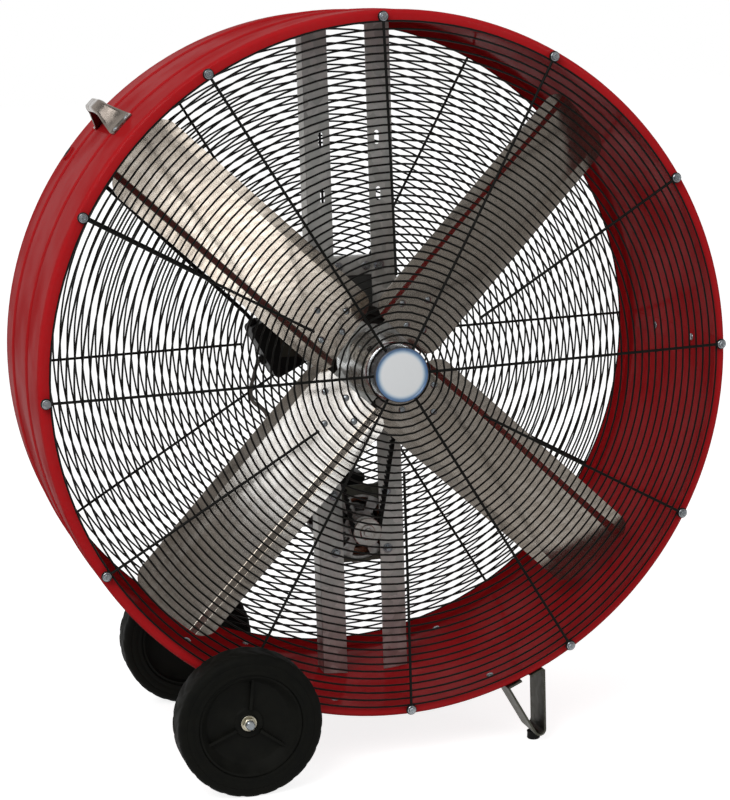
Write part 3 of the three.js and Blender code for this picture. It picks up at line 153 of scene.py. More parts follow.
class Shader:
    """One material's or world's node tree, with short ways to add to it."""

    def __init__(self, tree: bpy.types.NodeTree) -> None:
        self.tree = tree
        tree.nodes.clear()

    def node(self, kind: str, inputs: dict | None = None, out: int | str = 0, **settings: object) -> Socket:
        """Adds one node.

        Args:
            kind: the node's type.
            inputs: values or sockets, by input name or number.
            out: the output that is wanted.
            settings: the node's own properties.

        Returns:
            The wanted output.
        """
        made = self.tree.nodes.new(kind)
        for name, value in settings.items():
            setattr(made, name, value)
        for key, value in (inputs or {}).items():
            self._feed(made.inputs[key], value)
        return Socket(self, made.outputs[out]) if made.outputs else Socket(self, None)

    def _feed(self, target: bpy.types.NodeSocket, value: "Socket | Number | Color") -> None:
        if isinstance(value, Socket):
            self.tree.links.new(value.output, target)
            return
        wanted = len(target.default_value) if hasattr(target.default_value, "__len__") else 0
        if wanted:
            value = tuple(value) if isinstance(value, (tuple, list)) else (value,) * 3
            value = (*value[:3], 1.0)[:wanted]
        target.default_value = value

    def place(self, scale: Point | float = 1.0) -> Socket:
        """The point being shaded, in the frame's metres, stretched by scale."""
        here = self.node("ShaderNodeTexCoord", out="Object")
        return here * (tuple(scale) if isinstance(scale, (tuple, list)) else (scale,) * 3)

    def plan(self, scale: Point) -> Socket:
        """The point's place on its own flat pattern, in metres, stretched by scale."""
        return self.node("ShaderNodeAttribute", out="Vector", attribute_name="plan") * tuple(scale)

    def noise(self, size: float, detail: float = 2.0, at: Socket | None = None,
              contrast: float = 1.0) -> Socket:
        """Soft random mottling from 0 to 1.

        Args:
            size: how big a patch is, in millimetres.
            detail: how many finer layers it has.
            at: the coordinates that it reads, in metres.
            contrast: how much it is spread about its middle.

        Returns:
            The value at the point.
        """
        inputs = {"Vector": at or self.place(), "Scale": 1 / (size * MM), "Detail": detail}
        raw = self.node("ShaderNodeTexNoise", inputs, out=0)
        return raw if contrast == 1.0 else raw.ramp(0.5 - 0.3 / contrast, 0.5 + 0.3 / contrast)

    def cells(self, size: float, at: Socket | None = None, out: str = "Color") -> Socket:
        """Voronoi cells of a size in millimetres, each with its own random colour."""
        inputs = {"Vector": at or self.place(), "Scale": 1 / (size * MM), "Randomness": 1.0}
        return self.node("ShaderNodeTexVoronoi", inputs, out=out)

    def mix(self, first: "Socket | Color", second: "Socket | Color", share: "Socket | float") -> Socket:
        """A colour that goes from first to second as share goes from 0 to 1."""
        return self.node("ShaderNodeMix", {0: share, 6: first, 7: second}, out=2, data_type="RGBA")

    def bump(self, height: Socket, depth: float, below: Socket | None = None) -> Socket:
        """A normal bent by a height; depth is the height's full range in millimetres."""
        inputs = {"Height": height, "Distance": depth * MM, "Strength": 1.0}
        if below is not None:
            inputs["Normal"] = below
        return self.node("ShaderNodeBump", inputs)

    def principled(self, **inputs: "Socket | Number | Color") -> None:
        """Ends the tree in one Principled surface; an input's name has _ for its spaces."""
        named = {key.replace("_", " "): value for key, value in inputs.items()}
        named = {"Specular IOR Level" if key == "Specular" else key: value for key, value in named.items()}
        surface = self.node("ShaderNodeBsdfPrincipled", named)
        self.node("ShaderNodeOutputMaterial", {"Surface": surface})


@dataclass(frozen=True)
class Finish(ABC):
    """A surface finish. Equal finishes share one material."""

    name: str

    @abstractmethod
    def paint(self, shader: Shader) -> None:
        """Builds the finish's nodes."""

    def material(self) -> bpy.types.Material:
        """The finish's material, made when it is first asked for."""
        known = bpy.data.materials.get(self.name)
        if known:
            return known
        made = bpy.data.materials.new(self.name)
        made.use_nodes = True
        self.paint(Shader(made.node_tree))
        return made


@dataclass(frozen=True)
class PowderCoat(Finish):
    """Baked powder paint: an even colour with orange peel, a little dust and gloss that comes and goes."""

    color: Color = (0.4, 0.02, 0.02)
    roughness: float = 0.34
    peel: float = 0.035
    shine: float = 0.06
    gloss: float = 0.0
    coat_roughness: float = 0.13

    def paint(self, shader: Shader) -> None:
        """Builds the paint's nodes."""
        tone = shader.noise(180, 3)
        dust = shader.noise(9, 4, contrast=1.6)
        base = shader.mix(tuple(0.88 * c for c in self.color), tuple(1.1 * c for c in self.color), tone)
        base = shader.mix(base, tuple(0.8 * c + 0.02 for c in self.color), dust * 0.18)
        peel = shader.noise(1.9, 1.5)
        dents = shader.bump(shader.noise(120, 1), 0.5)
        wiped = shader.noise(150, 3, contrast=1.5)
        shader.principled(
            Base_Color=base, Roughness=self.roughness + 0.09 * dust, Metallic=0.0, Specular=self.shine,
            Coat_Weight=self.gloss * (0.2 + wiped), Coat_Roughness=self.coat_roughness,
            Normal=shader.bump(peel, self.peel, dents))


@dataclass(frozen=True)
class Galvanised(Finish):
    """Zinc-dipped sheet: crystals of different greys, with white bloom and run marks."""

    light: float = 0.57
    dark: float = 0.35
    spangle: float = 13.0
    roughness: float = 0.4
    warmth: float = 0.95

    def paint(self, shader: Shader) -> None:
        """Builds the zinc's nodes."""
        warp = shader.place() + shader.noise(22, 2) * (0.012, 0.012, 0.012)
        crystal = shader.cells(self.spangle, warp)
        level = shader.node("ShaderNodeSeparateXYZ", {0: crystal})
        run = shader.noise(40, 4, shader.place((1.0, 1.0, 0.25)), 1.4)
        dark = (self.dark, self.dark, self.dark * self.warmth)
        light = (self.light, self.light * 0.99, self.light * self.warmth)
        bloom = (1.25 * self.light, 1.25 * self.light, 1.25 * self.light * self.warmth)
        base = shader.mix(shader.mix(dark, light, level), bloom, run * 0.35)
        rough = self.roughness + 0.16 * level + 0.08 * run
        height = level * 0.5 + shader.noise(2.5, 3) * 0.5
        shader.principled(Base_Color=base, Roughness=rough, Metallic=0.92, Normal=shader.bump(height, 0.03))


@dataclass(frozen=True)
class RolledSheet(Finish):
    """Rolled metal read along its own flat pattern: fine drawn lines, faint waves and handling marks, its
    colour lighter and darker along the waves as painted reflection.
    """

    light: Color = (0.47, 0.435, 0.39)
    dark: Color = (0.27, 0.225, 0.18)
    roughness: float = 0.1

    def paint(self, shader: Shader) -> None:
        """Builds the sheet's nodes."""
        lines = shader.noise(11.0, 1, shader.plan((0.04, 1.0, 1.0)), 1.1)
        wave = shader.noise(110, 2, shader.plan((0.6, 1.0, 1.0)))
        marks = shader.noise(34, 3, shader.plan((0.45, 1.0, 1.0)), 1.8)
        # Painted reflection: the colour goes from dark to light with the sheet's broad waves, standing in for
        # the patchy highlights that they catch; the drawn lines are the metal's own grain.
        base = shader.mix(self.dark, self.light, lines * 0.35 + wave * 0.65)
        base = shader.mix(base, self.dark, marks * 0.2)
        rough = self.roughness + 0.02 * lines + 0.04 * marks
        normal = shader.bump(lines, 0.006, shader.bump(wave, 1.0))
        shader.principled(Base_Color=base, Roughness=rough, Metallic=0.9, Specular=0.2, Normal=normal)


@dataclass(frozen=True)
class TurnedMetal(Finish):
    """Bright metal with fine tool lines round the fan's axis or along a part."""

    light: Color = (0.62, 0.62, 0.6)
    dark: Color = (0.4, 0.39, 0.37)
    roughness: float = 0.24
    lines: Point = (0.15, 1.0, 0.15)
    stain: Color = (0.24, 0.2, 0.16)
    stained: float = 0.25

    def paint(self, shader: Shader) -> None:
        """Builds the metal's nodes."""
        tool = shader.noise(1.1, 3, shader.place(self.lines), 1.4)
        tone = shader.noise(34, 3)
        spots = shader.noise(11, 4, contrast=2.4)
        base = shader.mix(self.dark, self.light, tone * 0.7 + tool * 0.3)
        base = shader.mix(base, self.stain, spots * self.stained)
        rough = self.roughness + 0.1 * tool + 0.16 * spots
        normal = shader.bump(tool, 0.01, shader.bump(tone, 0.25))
        shader.principled(Base_Color=base, Roughness=rough, Metallic=1.0, Normal=normal)


@dataclass(frozen=True)
class Moulded(Finish):
    """A moulded or painted dark surface: a fine grain, scuffs and dust in random patches."""

    color: Color = (0.02, 0.02, 0.018)
    dust: Color = (0.09, 0.085, 0.075)
    roughness: float = 0.5
    grain: float = 0.9
    depth: float = 0.04
    metallic: float = 0.0
    shine: float = 0.1

    def paint(self, shader: Shader) -> None:
        """Builds the surface's nodes."""
        grain = shader.noise(self.grain, 2)
        scuff = shader.noise(26, 5, contrast=1.8)
        base = shader.mix(self.color, self.dust, scuff * 0.3 + grain * 0.12)
        rough = self.roughness + 0.16 * scuff
        normal = shader.bump(grain, self.depth, shader.bump(shader.noise(45, 1), 0.25))
        shader.principled(
            Base_Color=base, Roughness=rough, Metallic=self.metallic, Specular=self.shine, Normal=normal)


@dataclass(frozen=True)
class Winding(Finish):
    """Varnished copper wire, laid in turns that run round the motor's axis and lap over one another."""

    def paint(self, shader: Shader) -> None:
        """Builds the winding's nodes."""
        strands = shader.noise(1.3, 2, shader.place((1.0, 0.35, 1.0)), 1.8)
        lap = shader.noise(12, 2, contrast=1.5)
        base = shader.mix((0.09, 0.028, 0.014), (0.42, 0.15, 0.07), strands * 0.7 + lap * 0.3)
        shader.principled(
            Base_Color=base, Roughness=0.3 + 0.2 * lap, Metallic=0.65, Coat_Weight=0.5, Coat_Roughness=0.2,
            Normal=shader.bump(strands, 0.5))


@dataclass(frozen=True)
class BadgeFace(Finish):
    """A printed plastic disc: a pale middle, a blue band that deepens outwards, and a dark edge."""

    pale: Color = srgb(228, 230, 231)
    inner: Color = srgb(140, 178, 205)
    outer: Color = srgb(38, 88, 138)
    edge: Color = srgb(22, 26, 34)
    middle_radius: float = 37.0
    band_radius: float = 46.8

    def paint(self, shader: Shader) -> None:
        """Builds the disc's nodes: its colours depend only on the distance from the drum's axis."""
        flat = shader.place((1.0, 0.0, 1.0)) - (0.0, 0.0, AXIS_HEIGHT * MM)
        radius = shader.node("ShaderNodeVectorMath", {0: flat}, out="Value", operation="LENGTH")
        middle, band = self.middle_radius * MM, self.band_radius * MM
        blue = shader.mix(self.inner, self.outer, radius.ramp(middle, band))
        face = shader.mix(self.pale, blue, radius.ramp(middle - 0.002, middle + 0.007))
        face = shader.mix(face, self.edge, radius.ramp(band - 0.0004, band + 0.0004))
        face = shader.mix(face, tuple(0.8 * c for c in self.pale), shader.noise(8, 3) * 0.12)
        rough = 0.3 + 0.12 * shader.noise(6, 2)
        shader.principled(
            Base_Color=face, Roughness=rough, Metallic=0.0, Coat_Weight=0.3, Coat_Roughness=0.15,
            Normal=shader.bump(shader.noise(3, 2), 0.02))


# The stretch of a metal whose tool lines run no one way.
EVEN: Point = (1.0, 1.0, 1.0)

RED_PAINT = PowderCoat("red_powder_coat", (0.42, 0.011, 0.014), 0.4, 0.03, 0.0, 0.1)
WIRE_PAINT = PowderCoat("black_wire_coat", (0.006, 0.006, 0.005), 0.4, 0.02, 0.08)
GREY_PAINT = PowderCoat("grey_machine_paint", (0.05, 0.05, 0.047), 0.42, 0.05)
ZINC = Galvanised("galvanised_sheet")
# Painted shade: zinc made far darker than the posts' zinc, standing in for the shade under and inside the
# drum where the legs and the motor plate sit; the bracket takes it as its own dark colour.
DARK_AND_SHADED_ZINC = Galvanised("weathered_zinc", 0.085, 0.045, 11.0, 0.45, 0.8)
SHEET = RolledSheet("rolled_blade_sheet")
SPUN = TurnedMetal("spun_hub_steel", (0.86, 0.88, 0.88), (0.62, 0.63, 0.63), 0.14, stained=0.12)
STEEL = TurnedMetal("ground_steel", (0.62, 0.61, 0.58), (0.4, 0.38, 0.36), 0.26, EVEN, stained=0.3)
NICKEL = TurnedMetal(
    "plated_handle", (0.34, 0.3, 0.265), (0.1, 0.082, 0.07), 0.12, (1.0, 0.06, 1.0), stained=0.1)
BOLT_STEEL = TurnedMetal("zinc_bolt", (0.42, 0.45, 0.47), (0.2, 0.22, 0.24), 0.17, EVEN, stained=0.15)
NUT_PLATE = TurnedMetal("yellow_zinc_nut", (0.7, 0.66, 0.53), (0.4, 0.37, 0.28), 0.2, EVEN, stained=0.15)
CAST = TurnedMetal("cast_aluminium", (0.5, 0.5, 0.49), (0.3, 0.3, 0.29), 0.4, EVEN, stained=0.3)
IRON = Moulded("dark_cast_iron", (0.02, 0.019, 0.018), (0.07, 0.062, 0.055), 0.5, 1.6, 0.12, 0.6, 0.3)
PLASTIC = Moulded("black_moulding", (0.004, 0.004, 0.004), (0.02, 0.02, 0.018), 0.42, shine=0.2)
DISC = Moulded("wheel_moulding", (0.005, 0.0052, 0.0042), (0.016, 0.016, 0.013), 0.5, 1.1, 0.05, shine=0.07)
TYRE = Moulded("tread_compound", (0.0045, 0.0047, 0.004), (0.014, 0.014, 0.011), 0.62, 1.4, 0.08, shine=0.06)
RUBBER = Moulded("black_rubber", (0.004, 0.004, 0.004), (0.02, 0.019, 0.017), 0.6, 0.9, 0.05)
SHEATH = Moulded("black_sheath", (0.004, 0.004, 0.004), (0.02, 0.019, 0.017), 0.46, 1.2, 0.03)
GREY_SHEATH = Moulded("grey_sheath", srgb(104, 102, 96), srgb(134, 131, 124), 0.5, 1.2, 0.03)
COPPER = Winding("copper_winding")
BADGE = BadgeFace("badge_print")


# ---------------------------------------------------------------- geometry


@dataclass
class Solid:
    """A closed mesh in millimetres, with each corner's place on its flat pattern."""

    points: np.ndarray
    faces: list[np.ndarray]
    plan: np.ndarray | None = None

    def placed(self, matrix: Matrix) -> "Solid":
        """The same solid under a 4 x 4 matrix."""
        m = np.array(matrix)
        return Solid(self.points @ m[:3, :3].T + m[:3, 3], self.faces, self.plan)

    def shifted(self, x: float = 0.0, y: float = 0.0, z: float = 0.0) -> "Solid":
        """The same solid, moved."""
        return Solid(self.points + (x, y, z), self.faces, self.plan)

    def swung(self, degrees: float) -> "Solid":
        """The same solid, turned round the y axis from +x towards +z."""
        return self.placed(Matrix.Rotation(-math.radians(degrees), 4, "Y"))

    def flipped(self) -> "Solid":
        """The same solid with front and rear changed about, by a half turn round the z axis."""
        return self.placed(Matrix.Rotation(math.pi, 4, "Z"))

    def sheared(self, slope: float) -> "Solid":
        """The same solid, its y moved by slope for each millimetre of z."""
        points = self.points.copy()
        points[:, 1] += slope * points[:, 2]
        return Solid(points, self.faces, self.plan)


def grid(points: np.ndarray, close_u: bool = False, close_v: bool = False) -> Solid:
    """Quads over a grid of points: corner (i, j) is joined to (i + 1, j + 1).

    Args:
        points: the corners, as an array of rows, columns and x, y, z.
        close_u: whether the last row joins the first.
        close_v: whether the last column joins the first.

    Returns:
        The mesh.
    """
    ids = np.arange(points.shape[0] * points.shape[1]).reshape(points.shape[:2])
    ids = np.concatenate([ids, ids[:1]], 0) if close_u else ids
    ids = np.concatenate([ids, ids[:, :1]], 1) if close_v else ids
    quads = np.stack([ids[:-1, :-1], ids[1:, :-1], ids[1:, 1:], ids[:-1, 1:]], -1).reshape(-1, 4)
    return Solid(points.reshape(-1, 3).astype(float), [quads])


def turned(profile: Sequence[Point], sides: int, closed: bool = True) -> Solid:
    """A profile turned round the y axis: (r, y) becomes (r cos a, y, r sin a).

    Args:
        profile: radius and y of each corner.
        sides: how many steps go round.
        closed: whether the profile's last point goes back to its first; otherwise both lie on the axis.

    Returns:
        The turned solid.
    """
    shape = np.array(profile, float)
    angle = 2 * np.pi * np.arange(sides)[:, None] / sides
    points = np.stack([shape[:, 0] * np.cos(angle), shape[:, 1] + 0 * angle, shape[:, 0] * np.sin(angle)], -1)
    return grid(points, True, closed)


def wavy(profile: Sequence[Point], sides: int, lift: Callable[[np.ndarray, np.ndarray], np.ndarray]) -> Solid:
    """A closed profile turned round the y axis, its radius r at (a, j) raised by lift(a, j)."""
    shape = np.array(profile, float)
    angle = 2 * np.pi * np.arange(sides)[:, None] / sides
    radius = shape[:, 0] + lift(angle, np.arange(len(shape))[None, :])
    points = np.stack([radius * np.cos(angle), shape[:, 1] + 0 * angle, radius * np.sin(angle)], -1)
    return grid(points, True, True)


def tube(path: np.ndarray, radius: float, sides: int = 8, up: Point = (0, 1, 0),
         closed: bool = False) -> Solid:
    """A round section run along a path: c(i) + r (n cos a + b sin a), with n made square to the path from up.

    Args:
        path: the centre line's points.
        radius: the section's radius.
        sides: corners round the section.
        up: a direction that the path never runs along.
        closed: whether the path is a loop.

    Returns:
        The tube, with flat ends where it isn't a loop.
    """
    line = np.array(path, float)
    along = np.roll(line, -1, 0) - np.roll(line, 1, 0) if closed else np.gradient(line, axis=0)
    along /= np.linalg.norm(along, axis=1, keepdims=True)
    side = np.array(up, float) - (along @ np.array(up, float))[:, None] * along
    side /= np.linalg.norm(side, axis=1, keepdims=True)
    other = np.cross(along, side)
    angle = 2 * np.pi * np.arange(sides) / sides
    ring = radius * (side[:, None] * np.cos(angle)[:, None] + other[:, None] * np.sin(angle)[:, None])
    made = grid(line[:, None] + ring, closed, True)
    if not closed:
        ends = np.arange(sides)
        made.faces.append(np.stack([ends, ends + (len(line) - 1) * sides]))
    return made


def prism(outline: Sequence[Point], low: float, high: float, facing: Facing = Facing.FRONT,
          holes: Iterable[Sequence[Point]] = ()) -> Solid:
    """A flat outline with holes, given a thickness.

    Args:
        outline: its corners in the facing's plane.
        low, high: where its thickness starts and ends.
        facing: the plane.
        holes: outlines that are cut out.

    Returns:
        The plate.
    """
    loops = [np.array(loop, float) for loop in (outline, *holes)]
    flat = np.concatenate(loops)
    caps = np.array(tessellate_polygon([[Vector((*p, 0.0)) for p in loop] for loop in loops]))
    across, upward, depth = facing.value
    points = np.zeros((2 * len(flat), 3))
    points[:, across] = np.tile(flat[:, 0], 2)
    points[:, upward] = np.tile(flat[:, 1], 2)
    points[:, depth] = np.repeat([low, high], len(flat))
    starts = np.cumsum([0, *map(len, loops)])
    sides = []
    for start, loop in zip(starts, loops):
        here = start + np.arange(len(loop))
        after = start + (np.arange(len(loop)) + 1) % len(loop)
        sides.append(np.stack([here, after, after + len(flat), here + len(flat)], -1))
    return Solid(points, [caps, caps[:, ::-1] + len(flat), np.concatenate(sides)])


def sheet_of(front: np.ndarray, back: np.ndarray, plan: np.ndarray | None = None) -> Solid:
    """A closed sheet between two grids of the same shape, joined round their edge."""
    rows, columns = front.shape[:2]
    ids = np.arange(rows * columns).reshape(rows, columns)
    edge = np.concatenate([ids[0, :-1], ids[:-1, -1], ids[-1, :0:-1], ids[:0:-1, 0]])
    after = np.roll(edge, -1)
    shift = rows * columns
    faces = grid(front).faces[0]
    rim = np.stack([edge, edge + shift, after + shift, after], -1)
    points = np.concatenate([front.reshape(-1, 3), back.reshape(-1, 3)])
    flat = None if plan is None else np.tile(plan.reshape(-1, 3), (2, 1))
    return Solid(points, [faces, faces[:, ::-1] + shift, rim], flat)


def circle(radius: float, sides: int = 48, at: Point = (0, 0), start: float = 0.0) -> np.ndarray:
    """The corners of a circle in a plane."""
    angle = np.radians(start) + 2 * np.pi * np.arange(sides) / sides
    return np.stack([at[0] + radius * np.cos(angle), at[1] + radius * np.sin(angle)], -1)


def arc(radius: float, start: float, end: float, steps: int = 12, at: Point = (0, 0)) -> np.ndarray:
    """Points along part of a circle, from one angle in degrees to another."""
    angle = np.radians(np.linspace(start, end, steps + 1))
    return np.stack([at[0] + radius * np.cos(angle), at[1] + radius * np.sin(angle)], -1)


def rounded(corners: Sequence[Point], radius: float, steps: int = 4) -> np.ndarray:
    """A closed outline with its corners eased.

    Each corner c becomes (1-t)^2 a + 2t(1-t) c + t^2 b, with a and b on its edges at radius from c.
    """
    corner = np.array(corners, float)
    before, after = np.roll(corner, 1, 0) - corner, np.roll(corner, -1, 0) - corner
    reach = np.minimum(np.linalg.norm(before, axis=1), np.linalg.norm(after, axis=1))[:, None] * 0.49
    ease = np.minimum(radius, reach)
    a = corner + before / np.linalg.norm(before, axis=1, keepdims=True) * ease
    b = corner + after / np.linalg.norm(after, axis=1, keepdims=True) * ease
    t = np.linspace(0, 1, steps + 1)[None, :, None]
    return ((1 - t) ** 2 * a[:, None] + 2 * t * (1 - t) * corner[:, None] + t * t * b[:, None]).reshape(-1, 2)


def rounded_box(x0: float, y0: float, x1: float, y1: float, radius: float) -> np.ndarray:
    """The outline of a rectangle between two opposite corners, all its corners eased."""
    return rounded([(x0, y0), (x1, y0), (x1, y1), (x0, y1)], radius)


def there_and_back(half: Sequence[Point], middle: float) -> list[Point]:
    """The first half of a profile, and its mirror image about y = middle."""
    return [*half, *[(r, 2 * middle - y) for r, y in reversed(half)]]


def slot_outline(at: Point, width: float, length: float) -> np.ndarray:
    """An upright slot with round ends."""
    half = (length - width) / 2
    return np.concatenate([arc(width / 2, 0, 180, 6, (at[0], at[1] + half)),
                           arc(width / 2, 180, 360, 6, (at[0], at[1] - half))])


def strip(line: Sequence[Point], thickness: float) -> np.ndarray:
    """The outline of a strip of even thickness along a line, its corners mitred."""
    middle = np.array(line, float)
    step = np.diff(middle, axis=0)
    step /= np.linalg.norm(step, axis=1, keepdims=True)
    back, ahead = np.vstack([step[:1], step]), np.vstack([step, step[-1:]])
    normal = np.stack([-back[:, 1] - ahead[:, 1], back[:, 0] + ahead[:, 0]], -1)
    normal /= np.linalg.norm(normal, axis=1, keepdims=True)
    square = normal[:, 0] * -back[:, 1] + normal[:, 1] * back[:, 0]
    offset = normal * (thickness / 2 / np.maximum(0.5, square))[:, None]
    return np.concatenate([middle + offset, (middle - offset)[::-1]])


def smooth_line(points: Sequence[Point], steps: int = 10) -> np.ndarray:
    """A centripetal spline through points: knots a chord to the power 0.5 apart, blended in three rounds."""
    given = np.array(points, float)
    given = np.vstack([2 * given[0] - given[1], given, 2 * given[-1] - given[-2]])
    knots = np.concatenate([[0], np.cumsum(np.linalg.norm(np.diff(given, axis=0), axis=1) ** 0.5)])
    spans = np.arange(1, len(given) - 2)
    share = np.linspace(0, 1, steps, endpoint=False)
    at = (knots[spans][:, None] + share * (knots[spans + 1] - knots[spans])[:, None])[..., None]
    p = [given[spans + k][:, None] for k in (-1, 0, 1, 2)]
    t = [knots[spans + k][:, None, None] for k in (-1, 0, 1, 2)]

    def between(first: np.ndarray, second: np.ndarray, low: np.ndarray, high: np.ndarray) -> np.ndarray:
        return ((high - at) * first + (at - low) * second) / (high - low)

    low = [between(p[k], p[k + 1], t[k], t[k + 1]) for k in range(3)]
    mid = [between(low[k], low[k + 1], t[k], t[k + 2]) for k in range(2)]
    return np.vstack([between(mid[0], mid[1], t[1], t[2]).reshape(-1, 3), given[-2:-1]])


def length_of(path: np.ndarray) -> float:
    """How long a line of points is."""
    return float(np.linalg.norm(np.diff(path, axis=0), axis=1).sum())


def aimed(solid: Solid, at: Point, towards: Point = (0, -1, 0), roll: float = 0.0) -> Solid:
    """A solid made facing -y, turned to face another way and put in place."""
    turn = Vector((0, -1, 0)).rotation_difference(Vector(towards)).to_matrix().to_4x4()
    return solid.placed(Matrix.Translation(Vector(at)) @ turn @ Matrix.Rotation(math.radians(roll), 4, "Y"))


def polar(radius: float, degrees: float, y: float = 0.0) -> np.ndarray:
    """A point at a radius and angle round the drum's axis."""
    angle = math.radians(degrees)
    return np.array([radius * math.cos(angle), y, radius * math.sin(angle)])


# Small hardware, made facing -y with its seat at y = 0.
def hex_head(radius: float, height: float, flange: float = 0.0) -> Solid:
    """A hexagon head with a chamfered crown, on a round flange where it has one."""
    crown = [(0, -height), (0.84 * radius, -height), (radius, -height + 0.14 * radius), (radius, 0), (0, 0)]
    head = turned(crown, 6, False)
    if not flange:
        return head
    plate = turned([(0, -1.6), (flange - 1, -1.6), (flange, -0.8), (flange, 0), (0, 0)], 20, False)
    return Solid(np.vstack([head.points - (0, 1.2, 0), plate.points]),
                 [*head.faces, *[f + len(head.points) for f in plate.faces]])


def dome_rivet(radius: float, height: float) -> Solid:
    """A round-headed rivet: an ellipse's quarter turned round its axis."""
    angle = np.linspace(0, np.pi / 2, 6)
    curve = np.stack([radius * np.sin(angle), -height * np.cos(angle)], -1)
    return turned([*curve, (radius, 0.5), (0, 0.5)], 14, False)


def pan_screw(radius: float, height: float) -> Solid:
    """A pan head with a cross recess pressed in."""
    angle = 2 * np.pi * np.arange(24)[:, None] / 24
    share = np.array([0, 0.22, 0.5, 0.8, 1.0, 1.0, 0.0])
    lift = np.array([-0.35, -0.4, -1.0, -0.8, -0.35, 0.1, 0.1])
    cross = 0.55 * (np.cos(2 * angle) ** 8)[:, :1] * np.array([0, 1, 0.6, 0, 0, 0, 0])
    points = np.stack([radius * share * np.cos(angle), height * (lift + cross),
                       radius * share * np.sin(angle)], -1)
    return grid(points, True, False)


class Part:
    """One visible piece: solids, each with its finish, made into a single object."""

    def __init__(self, name: str) -> None:
        self.name = name
        self.solids: list[tuple[Solid, Finish]] = []

    def add(self, finish: Finish, *solids: Solid) -> "Part":
        """Adds solids in one finish.

        Args:
            finish: the finish that they have.
            solids: the solids.

        Returns:
            The part itself.
        """
        self.solids += [(solid, finish) for solid in solids]
        return self

    def build(self, body: str, slot: str = "", replaces: Sequence[str] = (), bevel: float = 0.0,
              sharp: float = 38.0) -> bpy.types.Object:
        """Makes the object and hangs it on its body.

        Args:
            body: the body that it moves with.
            slot: a material slot's name; not used.
            replaces: the nodes that it stands for.
            bevel: how far its sharp edges are broken, in millimetres.
            sharp: the angle above which an edge is drawn sharp.

        Returns:
            The object.
        """
        finishes = list(dict.fromkeys(finish for _, finish in self.solids))
        points, faces, slots, plans, start = [], [], [], [], 0
        for solid, finish in self.solids:
            points.append(solid.points)
            plans.append(solid.points * 0 if solid.plan is None else solid.plan)
            for block in solid.faces:
                faces += (block + start).tolist()
                slots += [finishes.index(finish)] * len(block)
            start += len(solid.points)
        mesh = bpy.data.meshes.new(self.name)
        mesh.from_pydata((np.vstack(points) * MM + (0, 0, AXIS_HEIGHT * MM)).tolist(), [], faces)
        mesh.polygons.foreach_set("material_index", slots)
        flat = mesh.attributes.new("plan", "FLOAT_VECTOR", "POINT")
        flat.data.foreach_set("vector", (np.vstack(plans) * MM).astype(np.float32).ravel())
        self._clean(mesh)
        mesh.shade_smooth()
        mesh.set_sharp_from_angle(angle=math.radians(sharp))
        made = bpy.data.objects.new(self.name, mesh)
        bpy.context.scene.collection.objects.link(made)
        for finish in finishes:
            mesh.materials.append(finish.material())
        if bevel:
            edge = made.modifiers.new("broken_edges", "BEVEL")
            edge.width, edge.segments, edge.harden_normals = bevel * MM, 2, True
            edge.limit_method, edge.angle_limit = "ANGLE", math.radians(40)
            edge.use_clamp_overlap = True
        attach(made, body)
        if replaces:
            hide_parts(*replaces)
        return made

    @staticmethod
    def _clean(mesh: bpy.types.Mesh) -> None:
        """Merges corners that coincide and turns every face outwards."""
        work = bmesh.new()
        work.from_mesh(mesh)
        bmesh.ops.remove_doubles(work, verts=work.verts, dist=1e-6)
        bmesh.ops.recalc_face_normals(work, faces=work.faces)
        work.to_mesh(mesh)
        work.free()


def finish_node(name: str, finish: Finish) -> None:
    """Gives a frame node that is shown as it is its finish."""
    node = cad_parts[name]
    node.data.materials.clear()
    node.data.materials.append(finish.material())


# ---------------------------------------------------------------- drum and guards


@dataclass(frozen=True)
class Drum:
    """The rolled drum: its wall, two raised beads, turned-in rims, lap seam and wall screws."""

    radius: float = 622.0
    half_depth: float = 225.0
    sheet: float = 3.0
    rim_width: float = 20.0
    corner: float = 8.0
    bead_height: float = 2.5
    bead_half: float = 4.5
    bead_front: float = -77.0
    bead_rear: float = 115.0
    sides: int = 192
    hole_angle: float = 142.3
    lap: float = 1.2
    lap_half: float = 15.0
    lap_reach: float = 205.0
    screws: tuple[tuple[float, float], ...] = (
        (0, -87), (0, 83), (236.3, 205), (236.5, 34), (251.4, 205), (260.1, -129), (287.5, 183),
        (287.4, -149))

    @property
    def inner(self) -> float:
        """The wall's inside radius."""
        return self.radius - self.sheet

    def profile(self) -> np.ndarray:
        """The wall's section: round corners of the set radius at both rims, beads as half sine waves."""
        r, y, c, s = self.radius, self.half_depth, self.corner, self.sheet
        outer = arc(c, -90, 0, 6, (r - c, -y + c))
        beads = [
            np.stack([r + self.bead_height * np.sin(np.linspace(0, np.pi, 7)),
                      mid + np.linspace(-self.bead_half, self.bead_half, 7)], -1)
            for mid in (self.bead_front, self.bead_rear)]
        back = arc(c, 0, 90, 6, (r - c, y - c))
        inner_back = arc(c - s, 90, 0, 6, (r - c, y - c))
        inner_front = arc(c - s, 0, -90, 6, (r - c, -y + c))
        lip = r - self.rim_width
        return np.vstack([[(lip, -y)], outer, *beads, back, [(lip, y), (lip, y - s)], inner_back, inner_front,
                          [(lip, -y + s)]])

    def build(self) -> None:
        """Builds the drum with its lap seam, and the wall screws; the two at 0 degrees sit on the lap."""
        lap = rounded_box(self.inner - self.lap, -self.lap_half, self.inner + 0.5, self.lap_half, 0.4)
        part = Part("drum_wall").add(RED_PAINT, turned(self.profile(), self.sides))
        part.add(RED_PAINT, prism(lap, -self.lap_reach, self.lap_reach))
        part.build("frame", "red_paint", ["drum_shell"])
        screws = Part("drum_wall_screws")
        for degrees, y in self.screws:
            seat = self.inner - (self.lap if degrees == 0 else 0)
            head = aimed(dome_rivet(7, 3), polar(seat, degrees, y), tuple(-polar(1, degrees)))
            screws.add(BOLT_STEEL, head)
        screws.build("frame", "red_paint")


